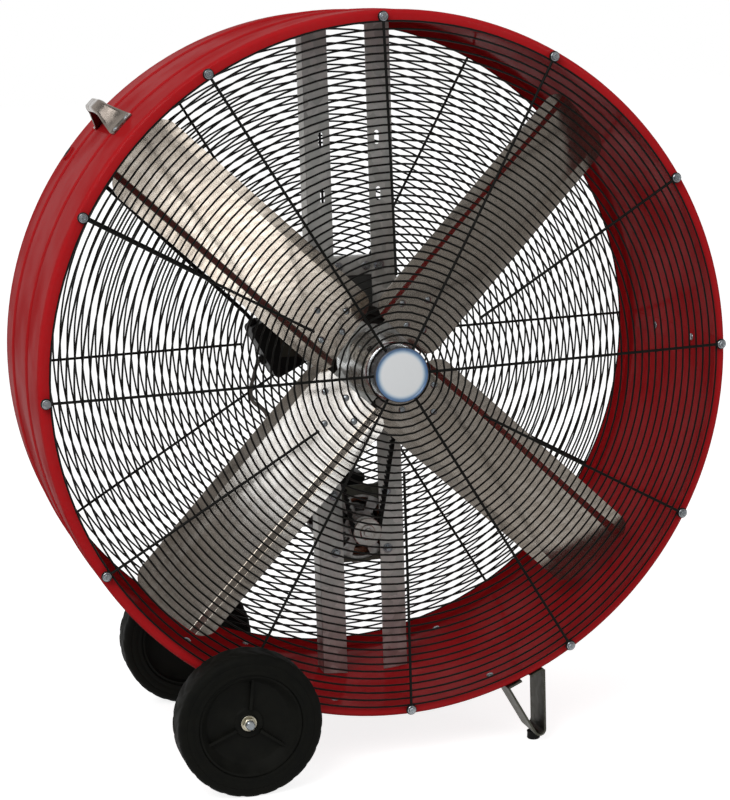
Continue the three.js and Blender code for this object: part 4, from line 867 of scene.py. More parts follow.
@dataclass(frozen=True)
class Guards:
    """Both wire guards: rings welded behind the spokes, and an eye at each spoke's outer end."""

    bolt_circle: float = 610.0
    outer_ring: float = 602.0
    pitch: float = 13.342
    rings: int = 42
    ring_wire: float = 1.8
    spoke_wire: float = 2.5
    eye: float = 7.2
    spokes: int = 12
    turn: float = 0.7
    long_end: float = 40.0
    short_end: float = 172.0
    drum_half: float = 225.0
    front_dome: float = 16.0
    rear_dome: float = 4.0
    front_ring_plane: float = 5.8
    rear_ring_plane: float = 2.1
    bite: float = 0.8

    def plane(self, end: End, radius: np.ndarray | float, spoke: bool) -> np.ndarray | float:
        """The y of a wire's middle: its plane beyond the rim plus dome (1 - (r / bolt circle)^2)."""
        front = end is End.FRONT
        base = self.front_ring_plane if front else self.rear_ring_plane
        base += (self.ring_wire + self.spoke_wire - self.bite) if spoke else 0
        dome = self.front_dome if front else self.rear_dome
        return end.value * (self.drum_half + base + dome * (1 - (radius / self.bolt_circle) ** 2))

    def spoke(self, end: End, index: int) -> list[Solid]:
        """One spoke and the eye that its wire ends in."""
        degrees = self.turn + 360 / self.spokes * index
        short = index % 2 == (1 if end is End.FRONT else 0)
        radius = np.linspace(self.short_end if short else self.long_end, self.bolt_circle - self.eye, 20)
        turn = math.radians(degrees)
        line = np.stack([radius * math.cos(turn), self.plane(end, radius, True), radius * math.sin(turn)], -1)
        centre = polar(self.bolt_circle, degrees, self.plane(end, self.bolt_circle, True))
        loop = circle(self.eye, 18)
        ring = np.stack([centre[0] + loop[:, 0], centre[1] + 0 * loop[:, 0], centre[2] + loop[:, 1]], -1)
        return [tube(line, self.spoke_wire, 8), tube(ring, self.spoke_wire, 8, closed=True)]

    def ring(self, end: End, radius: float, wire: float) -> Solid:
        """One ring of round wire."""
        middle = self.plane(end, radius, False)
        return turned(circle(wire, 6, (radius, middle)), max(28, int(radius * 0.22)))

    def build(self) -> None:
        """Builds both guards."""
        for end in End:
            part = Part(f"{end.label}_guard_wires")
            for index in range(self.rings):
                radius = self.outer_ring - self.pitch * index
                if radius > self.long_end + 8:
                    part.add(WIRE_PAINT, self.ring(end, radius, self.ring_wire))
            part.add(WIRE_PAINT, self.ring(end, self.long_end - 2, 2.2))
            for index in range(self.spokes):
                part.add(WIRE_PAINT, *self.spoke(end, index))
            part.build("frame", "black_wire", [f"{end.label}_guard"], sharp=60)


@dataclass(frozen=True)
class GuardBolts:
    """The twelve flanged hexagon bolts that hold the front guard's eyes to the rim."""

    circle: float = 610.0
    seat: float = -236.9
    head: float = 6.0
    head_height: float = 5.0
    flange: float = 7.8
    shank: float = 4.0
    rim_face: float = -225.3
    turn: float = 0.7
    count: int = 12
    wrench_step: float = 37.0

    def build(self) -> None:
        """Builds the bolts, each with its own wrench angle."""
        dimple = turned([(0, -0.3), (1.8, -0.3), (2.4, -0.9), (2.4, 0.4), (0, 0.4)], 12, False)
        head = hex_head(self.head, self.head_height - 0.2, self.flange)
        for index in range(self.count):
            at = polar(self.circle, self.turn + 360 / self.count * index, self.seat)
            stem = prism(circle(self.shank, 16), self.seat - 0.2, self.rim_face).shifted(at[0], 0, at[2])
            top = at - (0, self.head_height + 1.0, 0)
            part = Part(f"guard_bolt_{index + 1:02d}")
            part.add(BOLT_STEEL, aimed(head, at, roll=self.wrench_step * index), stem, dimple.shifted(*top))
            part.build("frame", "bright_steel", [f"front_guard_bolt_{index + 1:02d}"], bevel=0.25)


@dataclass(frozen=True)
class GuardBadge:
    """The round badge at the middle of the front guard."""

    radius: float = 48.5
    back: float = -253.2
    front: float = -261.0

    def build(self) -> None:
        """Builds the badge: a shallow dome inside a raised rim."""
        r, f = self.radius, self.front
        rim = [(r - 4.2, f + 1.0), (r - 3.2, f + 0.1), (r - 1.8, f), (r - 0.5, f + 0.9), (r, f + 2.4),
               (r, self.back), (0, self.back)]
        share = np.linspace(0, 1, 9)[:, None]
        dome = np.hstack([share * (r - 5), f + 0.2 + 1.4 * share ** 2])
        part = Part("badge_disc").add(BADGE, turned([*dome, *rim], 72, False))
        part.build("frame", "badge_face", ["guard_badge"])


# ---------------------------------------------------------------- the supports inside


@dataclass(frozen=True)
class Posts:
    """The two upright angles, slotted high on their faces, with the bolts of what they carry."""

    inner_x: float = 36.0
    outer_x: float = 82.0
    face_y: float = 40.0
    flange_y: float = 86.0
    sheet: float = 3.0
    reach: float = 617.6
    slot_x: float = 53.0
    slot_heights: tuple[float, ...] = (392.0, 289.0)
    slot_width: float = 9.0
    slot_length: float = 26.0
    upper_bolts: tuple[float, float] = (50.0, 158.0)
    lower_bolts: tuple[float, float] = (50.0, -143.0)

    def build(self) -> None:
        """Builds both posts: a slotted face and a flange, their ends following the drum's wall."""
        for side, name in ((-1, "left_post"), (1, "right_post")):
            x = np.linspace(self.inner_x, self.outer_x, 7)
            z = np.sqrt(self.reach ** 2 - x ** 2)
            face = np.vstack([np.stack([side * x, -z], -1), np.stack([side * x[::-1], z[::-1]], -1)])
            slots = [slot_outline((side * self.slot_x, height), self.slot_width, self.slot_length)
                     for height in self.slot_heights]
            end = z[-1] - 0.2
            flange = rounded_box(self.face_y + 0.4, -end, self.flange_y, end, 2)
            outer, inner = side * self.outer_x, side * (self.outer_x - self.sheet)
            part = Part(f"{name}_angle")
            part.add(ZINC, prism(face, self.face_y, self.face_y + self.sheet, holes=slots),
                     prism(flange, min(outer, inner), max(outer, inner), Facing.SIDE))
            for x_bolt, z_bolt in (self.upper_bolts, self.lower_bolts):
                at = (side * x_bolt, self.face_y, z_bolt)
                part.add(BOLT_STEEL, aimed(hex_head(8, 5.5, 10), at, roll=13 + z_bolt))
            part.build("frame", "galvanised", [name], bevel=0.5)


@dataclass(frozen=True)
class CrossAngles:
    """The two angles that tie the posts together and carry the bearing housing."""

    half: float = 78.7
    front: float = 43.3
    sheet: float = 3.0
    back: float = 73.3
    height: float = 35.0
    upper_top: float = 175.0
    lower_bottom: float = -160.0
    bolt_x: float = 26.0
    bolt_drop: float = 18.0

    def section(self, corner: float, upward: int) -> np.ndarray:
        """An angle's section with a round heel: its web from the corner, its flange to the back."""
        inside, foot = corner - upward * self.sheet, corner - upward * self.height
        return rounded([(self.front, corner), (self.back, corner), (self.back, inside),
                        (self.front + self.sheet, inside), (self.front + self.sheet, foot),
                        (self.front, foot)], 1.4, 3)

    def build(self) -> None:
        """Builds both angles, each with its housing bolts' nuts behind."""
        bars = (("upper_cross_angle", self.upper_top, 1), ("lower_cross_angle", self.lower_bottom, -1))
        for name, corner, upward in bars:
            bar = prism(self.section(corner, upward), -self.half, self.half, Facing.SIDE)
            part = Part(f"{name}_bar").add(ZINC, bar)
            for x in (-self.bolt_x, self.bolt_x):
                at = (x, self.front, corner - upward * self.bolt_drop)
                part.add(BOLT_STEEL, aimed(hex_head(6.5, 4, 8.5), at, roll=x))
            part.build("frame", "galvanised", [name], bevel=0.3)


@dataclass(frozen=True)
class BearingUnit:
    """The bearing housing with its plate, gussets and grease nipple, and the two sealed bearings."""

    plate_front: float = 46.6
    plate_back: float = 50.6
    half: float = 77.7
    bottom: float = -156.7
    top: float = 171.7
    bore: float = 26.3
    outer: float = 34.0
    length: float = 110.0
    bearing_width: float = 15.0
    shaft: float = 15.3

    def race(self, start: float) -> Solid:
        """One sealed bearing: its two rings, and the seals set back between them."""
        s, r = self.shaft, self.bore - 0.3
        half = [(s, start), (s + 2.6, start), (s + 2.9, start + 0.8), (r - 2.9, start + 0.8),
                (r - 2.6, start), (r - 0.6, start), (r, start + 0.6)]
        return turned(there_and_back(half, start + self.bearing_width / 2), 48)

    def build(self) -> None:
        """Builds the housing and its bearings."""
        y0, y1 = self.plate_front, self.plate_front + self.length
        o, b, back = self.outer, self.bore, self.plate_back
        slots = [slot_outline((x, z), 9, 30) for x in (-52, 52) for z in (-60, 60)]
        plate = prism(rounded_box(-self.half, self.bottom, self.half, self.top, 9), y0, back,
                      holes=[circle(o - 1, 48), *slots])
        barrel = [(b, y0), (o - 1.5, y0), (o, y0 + 1.5), (o, y1 - 6), (o - 2, y1 - 4), (o - 2, y1 - 1),
                  (o - 3, y1), (b, y1)]
        part = Part("bearing_housing_casting").add(GREY_PAINT, plate, turned(barrel, 48))
        gusset = [(o - 1, back), (o + 30, back), (o + 30, back + 5), (o + 2, y1 - 30), (o - 1, y1 - 30)]
        for turn in range(45, 360, 90):
            part.add(GREY_PAINT, prism(gusset, -2, 2, Facing.TOP).swung(turn))
        nipple = [(0, -9), (2.2, -9), (3, -7), (2, -5), (4, -4), (4, 1), (0, 1)]
        part.add(BOLT_STEEL, aimed(turned(nipple, 12, False), (0, y0 + 55, o), (0, 0, 1)))
        part.build("frame", "dark_steel", ["bearing_housing"], bevel=0.4)
        for name, start in (("front_bearing", back), ("rear_bearing", y1 - self.bearing_width - 2)):
            Part(f"{name}_races").add(STEEL, self.race(start)).build("frame", "bright_steel", [name])


# ---------------------------------------------------------------- hub, shaft and blades


@dataclass(frozen=True)
class Blades:
    """Four pitched blades of joggled sheet, each riveted to an arm of the hub."""

    count: int = 4
    angle: float = 46.4
    root: float = 66.0
    tip: float = 583.0
    half: float = 82.0
    sheet: float = 2.5
    middle_y: float = -98.0
    slope: float = 0.335
    tip_corner: float = 28.0
    root_corner: float = 30.0
    bends_at: tuple[float, ...] = (-84.0, -62.0, 49.0, 60.0, 84.0)
    bends_by: tuple[float, ...] = (-3.0, 0.0, 0.0, -7.0, -7.0)
    rivets: tuple[tuple[float, float], ...] = ((85, 0), (145, 0), (108, 36), (100, -34))

    def face(self, offset: np.ndarray | float) -> np.ndarray | float:
        """The y of a blade's front at an offset t: middle - slope t - half a sheet, plus its bends."""
        flat = self.middle_y - self.slope * np.asarray(offset) - self.sheet / 2
        return flat + np.interp(offset, self.bends_at, self.bends_by)

    def _corner(self, offset: np.ndarray, radius: float) -> np.ndarray:
        """How far a round corner draws an edge back: r - sqrt(r^2 - over^2), over past where it starts."""
        over = np.clip(np.abs(offset) - (self.half - radius), 0, radius)
        return radius - np.sqrt(radius ** 2 - over ** 2)

    def plate(self) -> Solid:
        """One blade along +x: s = s0(t) + u (s1(t) - s0(t)), its tip crowned to the drum's round."""
        ease = np.sin(np.linspace(0, np.pi / 2, 9))
        edge = self.half - self.tip_corner * (1 - ease)
        bends = [b + d for b in self.bends_at[1:-1] for d in (-1.5, 0, 1.5)]
        offset = np.unique(np.round(np.concatenate([-edge, np.linspace(-54, 48, 15), bends, edge]), 3))
        crown = self.tip - np.sqrt(self.tip ** 2 - offset ** 2)
        start = self.root + self._corner(offset, self.root_corner)
        end = self.tip - crown - self._corner(offset, self.tip_corner)
        along = np.linspace(0, 1, 28)[:, None]
        s = start + along * (end - start)
        t = offset + 0 * s
        front = np.stack([s, self.face(t), t], -1)
        plan = np.stack([s, t, 0 * s], -1)
        return sheet_of(front, front + (0, self.sheet, 0), plan)

    def build(self) -> None:
        """Builds the blades with their rivets' heads in front; the hub builds the tails behind the arm."""
        for index in range(self.count):
            turn = self.angle + 90 * index
            plate = self.plate()
            plate.plan = plate.plan + (0, 137.0 * (index + 1), 0)
            part = Part(f"blade_{index + 1}_sheet").add(SHEET, plate.swung(turn))
            for s, t in self.rivets:
                head = aimed(dome_rivet(6.5, 3.2), (s, float(self.face(t)), t), (0, -1, -self.slope))
                part.add(BOLT_STEEL, head.swung(turn))
            part.build("fan_rotor", "aluminium", [f"blade_{index + 1}"], sharp=50)


@dataclass(frozen=True)
class HubAndShaft:
    """The spun hub with its four arms, its set screw, and the keyed shaft."""

    blades: Blades
    front: float = -215.0
    front_radius: float = 52.0
    back: float = -62.0
    back_radius: float = 64.0
    sheet: float = 4.0
    boss: float = 26.0
    bore: float = 15.3
    shaft: float = 15.0
    shaft_front: float = -199.0
    shaft_back: float = 176.0
    arm_start: float = 24.0
    arm_end: float = 168.0
    arm_half: float = 40.0
    arm_sheet: float = 4.0
    clearance: float = 0.3

    def cup(self) -> Solid:
        """The spun cup: a dished nose, a round shoulder and a wall that opens to the back."""
        f, r, b, s = self.front, self.front_radius, self.back, self.sheet
        nose = [(0, f + 1.4), (12, f + 1.4), (16, f + 0.4), (30, f), *arc(7, -90, -4, 6, (r - 7, f + 7))]
        wide, floor = self.back_radius, self.shaft_front - self.clearance
        wall = [(r + 1.2, f + 18), (wide - 1.5, b - 12), (wide, b - 7), (wide, b)]
        inside = [(wide - s, b), (wide - s, b - 8), (r - s, f + 12), (r - s - 5, f + s), (self.boss, f + s),
                  (self.boss, b), (self.bore, b), (self.bore, floor), (0, floor)]
        return turned([*nose, *wall, *inside], 72, False)

    def arm(self) -> Solid:
        """One arm along +x, flat behind its blade's root and rounded at its end."""
        outline = rounded_box(self.arm_start, -self.arm_half, self.arm_end, self.arm_half, 16)
        seat = self.blades.middle_y + self.blades.sheet / 2 + self.clearance
        return prism(outline, seat, seat + self.arm_sheet).sheared(-self.blades.slope)

    def build(self) -> None:
        """Builds the hub, its hardware and the shaft."""
        part = Part("hub_spinning").add(SPUN, self.cup())
        blades = self.blades
        for index in range(blades.count):
            turn = blades.angle + 90 * index
            part.add(ZINC, self.arm().swung(turn))
            for s, t in blades.rivets:
                y = blades.middle_y - blades.slope * t + blades.sheet / 2 + self.clearance + self.arm_sheet
                part.add(BOLT_STEEL, aimed(dome_rivet(6, 2.6), (s, y, t), (0, 1, blades.slope)).swung(turn))
        screw = [(0, 0.8), (3.2, 0.8), (3.6, -1.6), (5.2, -1.6), (5.6, -0.8), (5.6, 2), (0, 2)]
        side = Vector((-29, 0, 31)).normalized()
        seat = side * 53.6 + Vector((0, -188, 0))
        part.add(IRON, aimed(turned(screw, 20, False), tuple(seat), tuple(side)))
        part.build("fan_rotor", "galvanised", ["fan_hub"], bevel=0.3)
        r, f, b = self.shaft, self.shaft_front, self.shaft_back
        key = prism(rounded_box(-2.5, -20, 2.5, 26, 0.5), r - 3, r - 0.1, Facing.TOP)
        rod = [(0, f), (r - 1, f), (r, f + 1), (r, b - 1.5), (r - 1.5, b), (2.4, b), (0, b - 4)]
        shaft = Part("fan_shaft_rod").add(STEEL, turned(rod, 40, False), key)
        shaft.build("fan_rotor", "bright_steel", ["fan_shaft"])


# ---------------------------------------------------------------- belt drive


@dataclass(frozen=True)
class BeltDrive:
    """Both pulleys and the cogged belt between them."""

    upper: float = 90.0
    lower: float = 27.0
    distance: float = 336.0
    middle_y: float = 5.0
    half: float = 10.0
    depth: float = 10.5
    floor_half: float = 4.9
    flare: float = 2.0
    web_cut: float = 6.0
    shaft: float = 15.3
    motor_shaft: float = 8.3
    belt_top_half: float = 5.8
    belt_foot_half: float = 4.0
    belt_height: float = 8.0
    cog_depth: float = 3.0
    cog_pitch: float = 10.0

    def pulley(self, radius: float, bore: float, web: float, hub: float) -> Solid:
        """A grooved pulley with turned rim corners; its faces are cut back by web between hub and rim."""
        h, y, rim = self.half, self.middle_y, radius - self.depth - 5
        top, foot = self.floor_half + self.flare, self.floor_half
        front = [(bore, y - h), (hub - 1, y - h), (hub, y - h + 1)]
        if web:
            front += [(hub + 2, y - h + web), (rim - 3, y - h + web), (rim, y - h + 1), (rim + 1, y - h)]
        groove = [(radius - 1, y - h), (radius, y - h + 1), (radius, y - top),
                  (radius - self.depth, y - foot)]
        return turned(there_and_back([*front, *groove], y), 72)

    def loop(self, radius_drop: float, steps: int) -> np.ndarray:
        """The belt's path at a depth below its top, evenly stepped: two arcs and the runs between."""
        big, small, d = self.upper - radius_drop, self.lower - radius_drop, self.distance
        lean = math.degrees(math.asin((big - small) / d))
        top = arc(big, -lean, 180 + lean, 90)
        foot = arc(small, 180 + lean, 360 - lean, 40, (0, -d))
        path = np.vstack([top, foot, top[:1]])
        run = np.concatenate([[0], np.cumsum(np.linalg.norm(np.diff(path, axis=0), axis=1))])
        at = np.linspace(0, run[-1], steps, endpoint=False)
        return np.stack([np.interp(at, run, path[:, 0]), np.interp(at, run, path[:, 1])], -1)

    def belt(self) -> Solid:
        """The belt: a wedge section whose foot rises by a rounded square wave once a cog."""
        middle = self.loop(0, 2400)
        count = round(length_of(np.vstack([middle, middle[:1]])) / self.cog_pitch)
        steps = count * 8
        top, foot = self.loop(0, steps), self.loop(self.belt_height, steps)
        phase = 2 * np.pi * np.arange(steps) / 8
        rise = self.cog_depth * (0.5 + 0.5 * np.tanh(3 * np.sin(phase + 0.2)) / math.tanh(3))
        share = (rise / self.belt_height)[:, None]
        low = foot + (top - foot) * share
        taper = self.belt_foot_half + (self.belt_top_half - self.belt_foot_half) * share[:, 0]
        shoulder = top + (foot - top) * 0.12
        wide = self.belt_top_half
        rows = [(top, wide - 0.5, -1), (top, wide - 0.5, 1), (shoulder, wide, 1), (low, taper, 1),
                (low, taper, -1), (shoulder, wide, -1)]
        lines = [np.stack([path[:, 0], self.middle_y + side * half * np.ones(steps), path[:, 1]], -1)
                 for path, half, side in rows]
        return grid(np.stack(lines, 1), True, True)

    def build(self) -> None:
        """Builds the pulleys and the belt."""
        fan = Part("fan_pulley_wheel").add(IRON, self.pulley(self.upper, self.shaft, self.web_cut, 27))
        face = self.middle_y - self.half
        dish = turned([(0, -0.3), (6, -0.3), (7.5, -1.2), (7.5, 0.5), (0, 0.5)], 20, False)
        for degrees in range(30, 390, 60):
            fan.add(IRON, aimed(dish, polar(50, degrees, face + self.web_cut)))
        fan.add(BOLT_STEEL, aimed(hex_head(4, 3), polar(21, 62, face)))
        fan.build("fan_rotor", "dark_steel", ["fan_pulley"], sharp=30)
        motor = Part("motor_pulley_wheel")
        collar = [(8.4, face - 2.2), (13, face - 2.2), (14, face - 1.2), (14, face + 0.4), (8.4, face + 0.4)]
        for piece in (self.pulley(self.lower, self.motor_shaft, 0, 15), turned(collar, 36)):
            motor.add(STEEL, piece.shifted(z=-self.distance))
        motor.build("motor_rotor", "aluminium", ["motor_pulley"], sharp=30)
        Part("cogged_belt").add(RUBBER, self.belt()).build("frame", "rubber", ["drive_belt"], sharp=50)


# ---------------------------------------------------------------- motor


@dataclass(frozen=True)
class Motor:
    """The open motor: its plate, end bells with windows, shell, wound stator, rotor and capacitor cover."""

    axis_z: float = -336.0
    radius: float = 70.0
    wall: float = 4.0
    plate_front: float = 43.3
    plate_sheet: float = 4.0
    plate_half: float = 78.7
    plate_bottom: float = -402.0
    plate_top: float = -255.0
    plate_bore: float = 62.0
    bell_front: float = 47.6
    bell_depth: float = 14.0
    shell_front: float = 61.9
    shell_back: float = 183.9
    rear_bell: float = 184.2
    window_inner: float = 30.0
    window_outer: float = 57.0
    windows: int = 6
    shaft: float = 8.0
    shaft_front: float = -9.0
    shaft_back: float = 200.2
    rotor: float = 40.0
    stator_front: float = 87.9
    stator_back: float = 157.9
    winding_inner: float = 44.0
    winding_outer: float = 61.7
    winding_length: float = 20.0
    cover_front: float = 82.9
    cover_back: float = 162.9
    cover_half: float = 22.0
    cover_top: float = 96.0
    plate_bolts: tuple[tuple[float, float], ...] = ((-51, -271), (51, -271), (-51, -381), (51, -381))
    bolt_lift: float = 3.3
    gland_y: float = 131.9

    def bell(self, start: float, outward: int) -> list[Solid]:
        """An end bell: a disc with rounded windows, a boss round the bearing and a raised outer ring."""
        step = 360 / self.windows
        holes = [circle(self.shaft + 0.3, 24)]
        for index in range(self.windows):
            low, high = step * (index + 0.15), step * (index + 0.85)
            holes.append(np.vstack([arc(self.window_outer, low + 3, high - 3, 10),
                                    arc(self.window_inner, high - 5, low + 5, 8)]))
        disc = prism(circle(self.radius, 72), start, start + self.bell_depth, holes=holes)
        face = start if outward < 0 else start + self.bell_depth
        ring = turned([(14, face - 1), (22, face - 1), (24, face + 1), (14, face + 1)], 48)
        ledge = turned([(60, face - 0.9), (66, face - 0.9), (67, face + 0.6), (60, face + 0.6)], 72)
        return [solid.shifted(z=self.axis_z) for solid in (disc, ring, ledge)]

    def plate(self) -> None:
        """The mounting plate with its bolts."""
        h, front = self.plate_half, self.plate_front
        sheet = prism(rounded_box(-h, self.plate_bottom, h, self.plate_top, 5), front,
                      front + self.plate_sheet, holes=[circle(self.plate_bore, 72, (0, self.axis_z))])
        part = Part("motor_plate_sheet").add(DARK_AND_SHADED_ZINC, sheet)
        for x, height in self.plate_bolts:
            head = aimed(hex_head(7, 5, 9.5), (x, front - self.bolt_lift, height), roll=x + height)
            part.add(BOLT_STEEL, head)
        part.build("frame", "galvanised", ["motor_plate"], bevel=0.5)

    def bells(self) -> None:
        """Both end bells, each with its four bolts."""
        for name, start, outward in (("front", self.bell_front, -1), ("rear", self.rear_bell, 1)):
            part = Part(f"motor_{name}_bell_casting").add(CAST, *self.bell(start, outward))
            face = start if outward < 0 else start + self.bell_depth
            for degrees in range(45, 360, 90):
                at = polar(63.5, degrees, face + outward * 0.8) + (0, 0, self.axis_z)
                part.add(BOLT_STEEL, aimed(hex_head(3.6, 2.6), at, (0, outward, 0)))
            part.build("frame", "aluminium", [f"motor_{name}_bell"], bevel=0.8)

    def case(self) -> None:
        """The shell, grooved near both ends, with the gland that the lead goes into."""
        a, b, r = self.shell_front, self.shell_back, self.radius
        half = [(r - self.wall, a), (r - 1, a), (r, a + 1), (r, a + 9), (r - 1.2, a + 10), (r - 1.2, a + 13),
                (r, a + 14)]
        tube_shape = turned(there_and_back(half, (a + b) / 2), 72).shifted(z=self.axis_z)
        gland = [(self.shaft - 3, -9), (7, -9), (8.5, -7), (8.5, 1), (self.shaft - 3, 1)]
        fitted = aimed(turned(gland, 20), (-r, self.gland_y, self.axis_z), (-1, 0, 0))
        part = Part("motor_shell_tube").add(GREY_PAINT, tube_shape).add(PLASTIC, fitted)
        part.build("frame", "dark_steel", ["motor_shell"])

    def stator(self) -> None:
        """The core and its end turns: a superelliptic section, ribbed all round by its coils."""
        f, k, w = self.stator_front, self.stator_back, self.winding_length
        inner, outer = self.winding_inner, self.winding_outer

        def bulge(y0: float, y1: float) -> np.ndarray:
            turn = np.linspace(0, 2 * np.pi, 16, endpoint=False)
            mid, half, across = (y0 + y1) / 2, (y1 - y0) / 2, (outer - inner) / 2
            return np.stack([inner + across + across * np.sign(np.cos(turn)) * np.abs(np.cos(turn)) ** 0.6,
                             mid + half * np.sign(np.sin(turn)) * np.abs(np.sin(turn)) ** 0.6], -1)

        def coils(angle: np.ndarray, _: np.ndarray) -> np.ndarray:
            return -0.9 + 0.9 * np.abs(np.cos(12 * angle))

        rim, hole = self.radius - self.wall - 0.3, self.rotor + 1
        core = turned([(hole, f), (rim, f), (rim, k), (hole, k)], 72)
        ends = [wavy(bulge(*span), 144, coils).shifted(z=self.axis_z) for span in ((f - w, f), (k, k + w))]
        part = Part("motor_stator_coils").add(IRON, core.shifted(z=self.axis_z)).add(COPPER, *ends)
        part.build("frame", "copper", ["motor_stator"])

    def rod(self) -> None:
        """The shaft with its rotor."""
        f, k, s, r = self.stator_front, self.stator_back, self.shaft, self.rotor
        tip, tail = self.shaft_front, self.shaft_back
        line = [(0, tip), (s - 0.8, tip), (s, tip + 0.8), (s, f), (r - 6, f), (r - 5, f - 6), (r - 1, f - 6),
                (r, f), (r, k), (r - 1, k + 6), (r - 5, k + 6), (r - 6, k), (s, k), (s, tail), (0, tail)]
        part = Part("motor_shaft_rotor").add(STEEL, turned(line, 40, False).shifted(z=self.axis_z))
        part.build("motor_rotor", "bright_steel", ["motor_shaft"])

    def cover(self) -> None:
        """The capacitor's cover, its underside following the shell, with two screws."""
        c, top, reach = self.cover_half, self.cover_top, self.radius + 0.3
        under = math.degrees(math.acos(c / reach))
        corners = rounded([(c, 76), (c, top), (-c, top), (-c, 76)], 10, 6)
        outline = np.vstack([corners[corners[:, 1] > 77], arc(reach, 180 - under, under, 10)])
        part = Part("capacitor_cover_moulding")
        part.add(PLASTIC, prism(outline, self.cover_front, self.cover_back).shifted(z=self.axis_z))
        for x, y in ((-17, 90), (17, 156)):
            part.add(BOLT_STEEL, aimed(pan_screw(3.4, 2.4), (0.4 * x, y, self.axis_z + top), (0, 0, 1)))
        part.build("frame", "black_plastic", ["motor_capacitor_cover"], bevel=1.2)

    def build(self) -> None:
        """Builds the motor's pieces."""
        for piece in (self.plate, self.bells, self.case, self.stator, self.rod, self.cover):
            piece()


# ---------------------------------------------------------------- switch box and cables


@dataclass(frozen=True)
class SwitchBox:
    """The tilted switch box with its cover, knob and bracket."""

    x: float = -115.0
    z: float = 4.0
    tilt: float = 26.0
    width: float = 75.0
    height: float = 110.0
    front: float = 155.0
    back: float = 215.0
    wall: float = 3.0
    corner: float = 9.0
    cover_front: float = 215.3
    cover_back: float = 217.8
    stem: float = 3.5
    stem_front: float = 218.1
    skirt: float = 14.0
    skirt_front: float = 234.6
    skirt_back: float = 240.6
    knob_back: float = 249.6

    def put(self, solid: Solid) -> Solid:
        """Moves a solid made upright about the box's middle to its tilted place."""
        return solid.swung(self.tilt).shifted(self.x, 0, self.z)

    def point(self, across: float, up: float, y: float) -> np.ndarray:
        """A point from offsets across and up the tilted box."""
        c, s = math.cos(math.radians(self.tilt)), math.sin(math.radians(self.tilt))
        return np.array([self.x + across * c - up * s, y, self.z + across * s + up * c])

    def rectangle(self, inset: float) -> np.ndarray:
        """The box's outline, drawn in by an inset."""
        w, h = self.width / 2 - inset, self.height / 2 - inset
        return rounded([(-w, -h), (w, -h), (w, h), (-w, h)], self.corner - inset, 5)

    def tub(self) -> None:
        """The box, its rim band, four bosses and two glands."""
        part = Part("switch_box_tub")
        floor_back, hollow = self.front + self.wall, self.rectangle(self.wall)
        layers = ((0, self.front, floor_back, []), (0, floor_back - 0.2, self.back, [hollow]),
                  (-0.8, self.back - 6, self.back - 0.4, [hollow]))
        for inset, low, high, holes in layers:
            part.add(PLASTIC, self.put(prism(self.rectangle(inset), low, high, holes=holes)))
        boss = turned([(0, 0), (5, 0), (4.4, -1.4), (0, -1.4)], 20, False)
        for across, up in ((-25, 42), (25, 42), (-25, -42), (25, -42)):
            part.add(PLASTIC, self.put(boss.shifted(across, self.front, up)))
        gland = turned([(4.2, -0.2), (4.2, -9), (7.5, -9), (9, -7), (9, -3), (10.5, -2.5), (10.5, -0.2)], 24)
        middle = self.point(0, 0, 0)
        for at, ahead in ((self.point(-23, self.height / 2, 183), self.point(0, 1, 0)),
                          (self.point(-self.width / 2, -15, 185), self.point(-1, 0, 0))):
            part.add(PLASTIC, aimed(gland, tuple(at), tuple(ahead - middle)))
        part.build("frame", "black_plastic", ["switch_box"], bevel=0.8)

    def lid(self) -> None:
        """The cover with the raised ring round its knob and four screws."""
        part = Part("switch_box_lid")
        hole = circle(self.stem + 0.4, 20)
        plate = prism(self.rectangle(0), self.cover_front, self.cover_back, holes=[hole])
        dial = turned([(17, 0), (19.5, 0), (19.5, 0.9), (17, 0.9)], 48).shifted(y=self.cover_back - 0.2)
        part.add(PLASTIC, self.put(plate), self.put(dial))
        for across, up in ((-30, 47), (30, 47), (-30, -47), (30, -47)):
            screw = aimed(pan_screw(3.4, 2.2), (across, self.cover_back, up), (0, 1, 0))
            part.add(BOLT_STEEL, self.put(screw))
        part.build("frame", "black_plastic", ["switch_box_cover"], bevel=0.6)

    def knob(self) -> None:
        """The knob: a stem, a fluted skirt, and a tapered grip with its mark."""
        front, back, r, tail = self.skirt_front, self.skirt_back, self.skirt, self.knob_back
        stem = [(0, self.stem_front), (self.stem, self.stem_front), (self.stem, front + 1), (0, front + 1)]
        edge = [(4, front), (r - 0.6, front), (r, front + 1), (r - 0.4, back - 0.8), (r - 1.6, back),
                (4, back)]
        skirt = wavy(edge, 96, lambda a, j: -0.3 * (1 - np.cos(24 * a)) * ((j > 0) & (j < 5)))
        grip = rounded([(-4.2, -12.6), (4.2, -12.6), (3.2, 12.6), (-3.2, 12.6)], 2.5)
        solids = (turned(stem, 24, False), skirt, prism(grip, front + 1, tail))
        mark = prism(rounded_box(-0.7, 5, 0.7, 11.5, 0.3), tail - 0.4, tail - 0.02)
        part = Part("switch_knob_grip").add(PLASTIC, *map(self.put, solids)).add(BADGE, self.put(mark))
        part.build("switch_dial", "black_plastic", ["switch_knob"], bevel=0.5)

    def bracket(self) -> None:
        """The strap from the left post to the box, with its two bolts."""
        line = [(-83.8, 50.2), (-83.8, 149.5), (-84.6, 152.2), (-87.4, 153.2), (-116.2, 153.2)]
        bar = prism(strip(line, 2.9), self.z - 24, self.z + 24, Facing.TOP)
        part = Part("switch_bracket_strap").add(DARK_AND_SHADED_ZINC, bar)
        for y, up in ((62, 14), (78, -14)):
            part.add(BOLT_STEEL, aimed(hex_head(6, 4, 8), (-85.3, y, self.z + up), (-1, 0, 0)))
        part.build("frame", "dark_steel", ["switch_bracket"], bevel=0.4)

    def build(self) -> None:
        """Builds the box, its cover, knob and bracket."""
        for piece in (self.tub, self.lid, self.knob, self.bracket):
            piece()


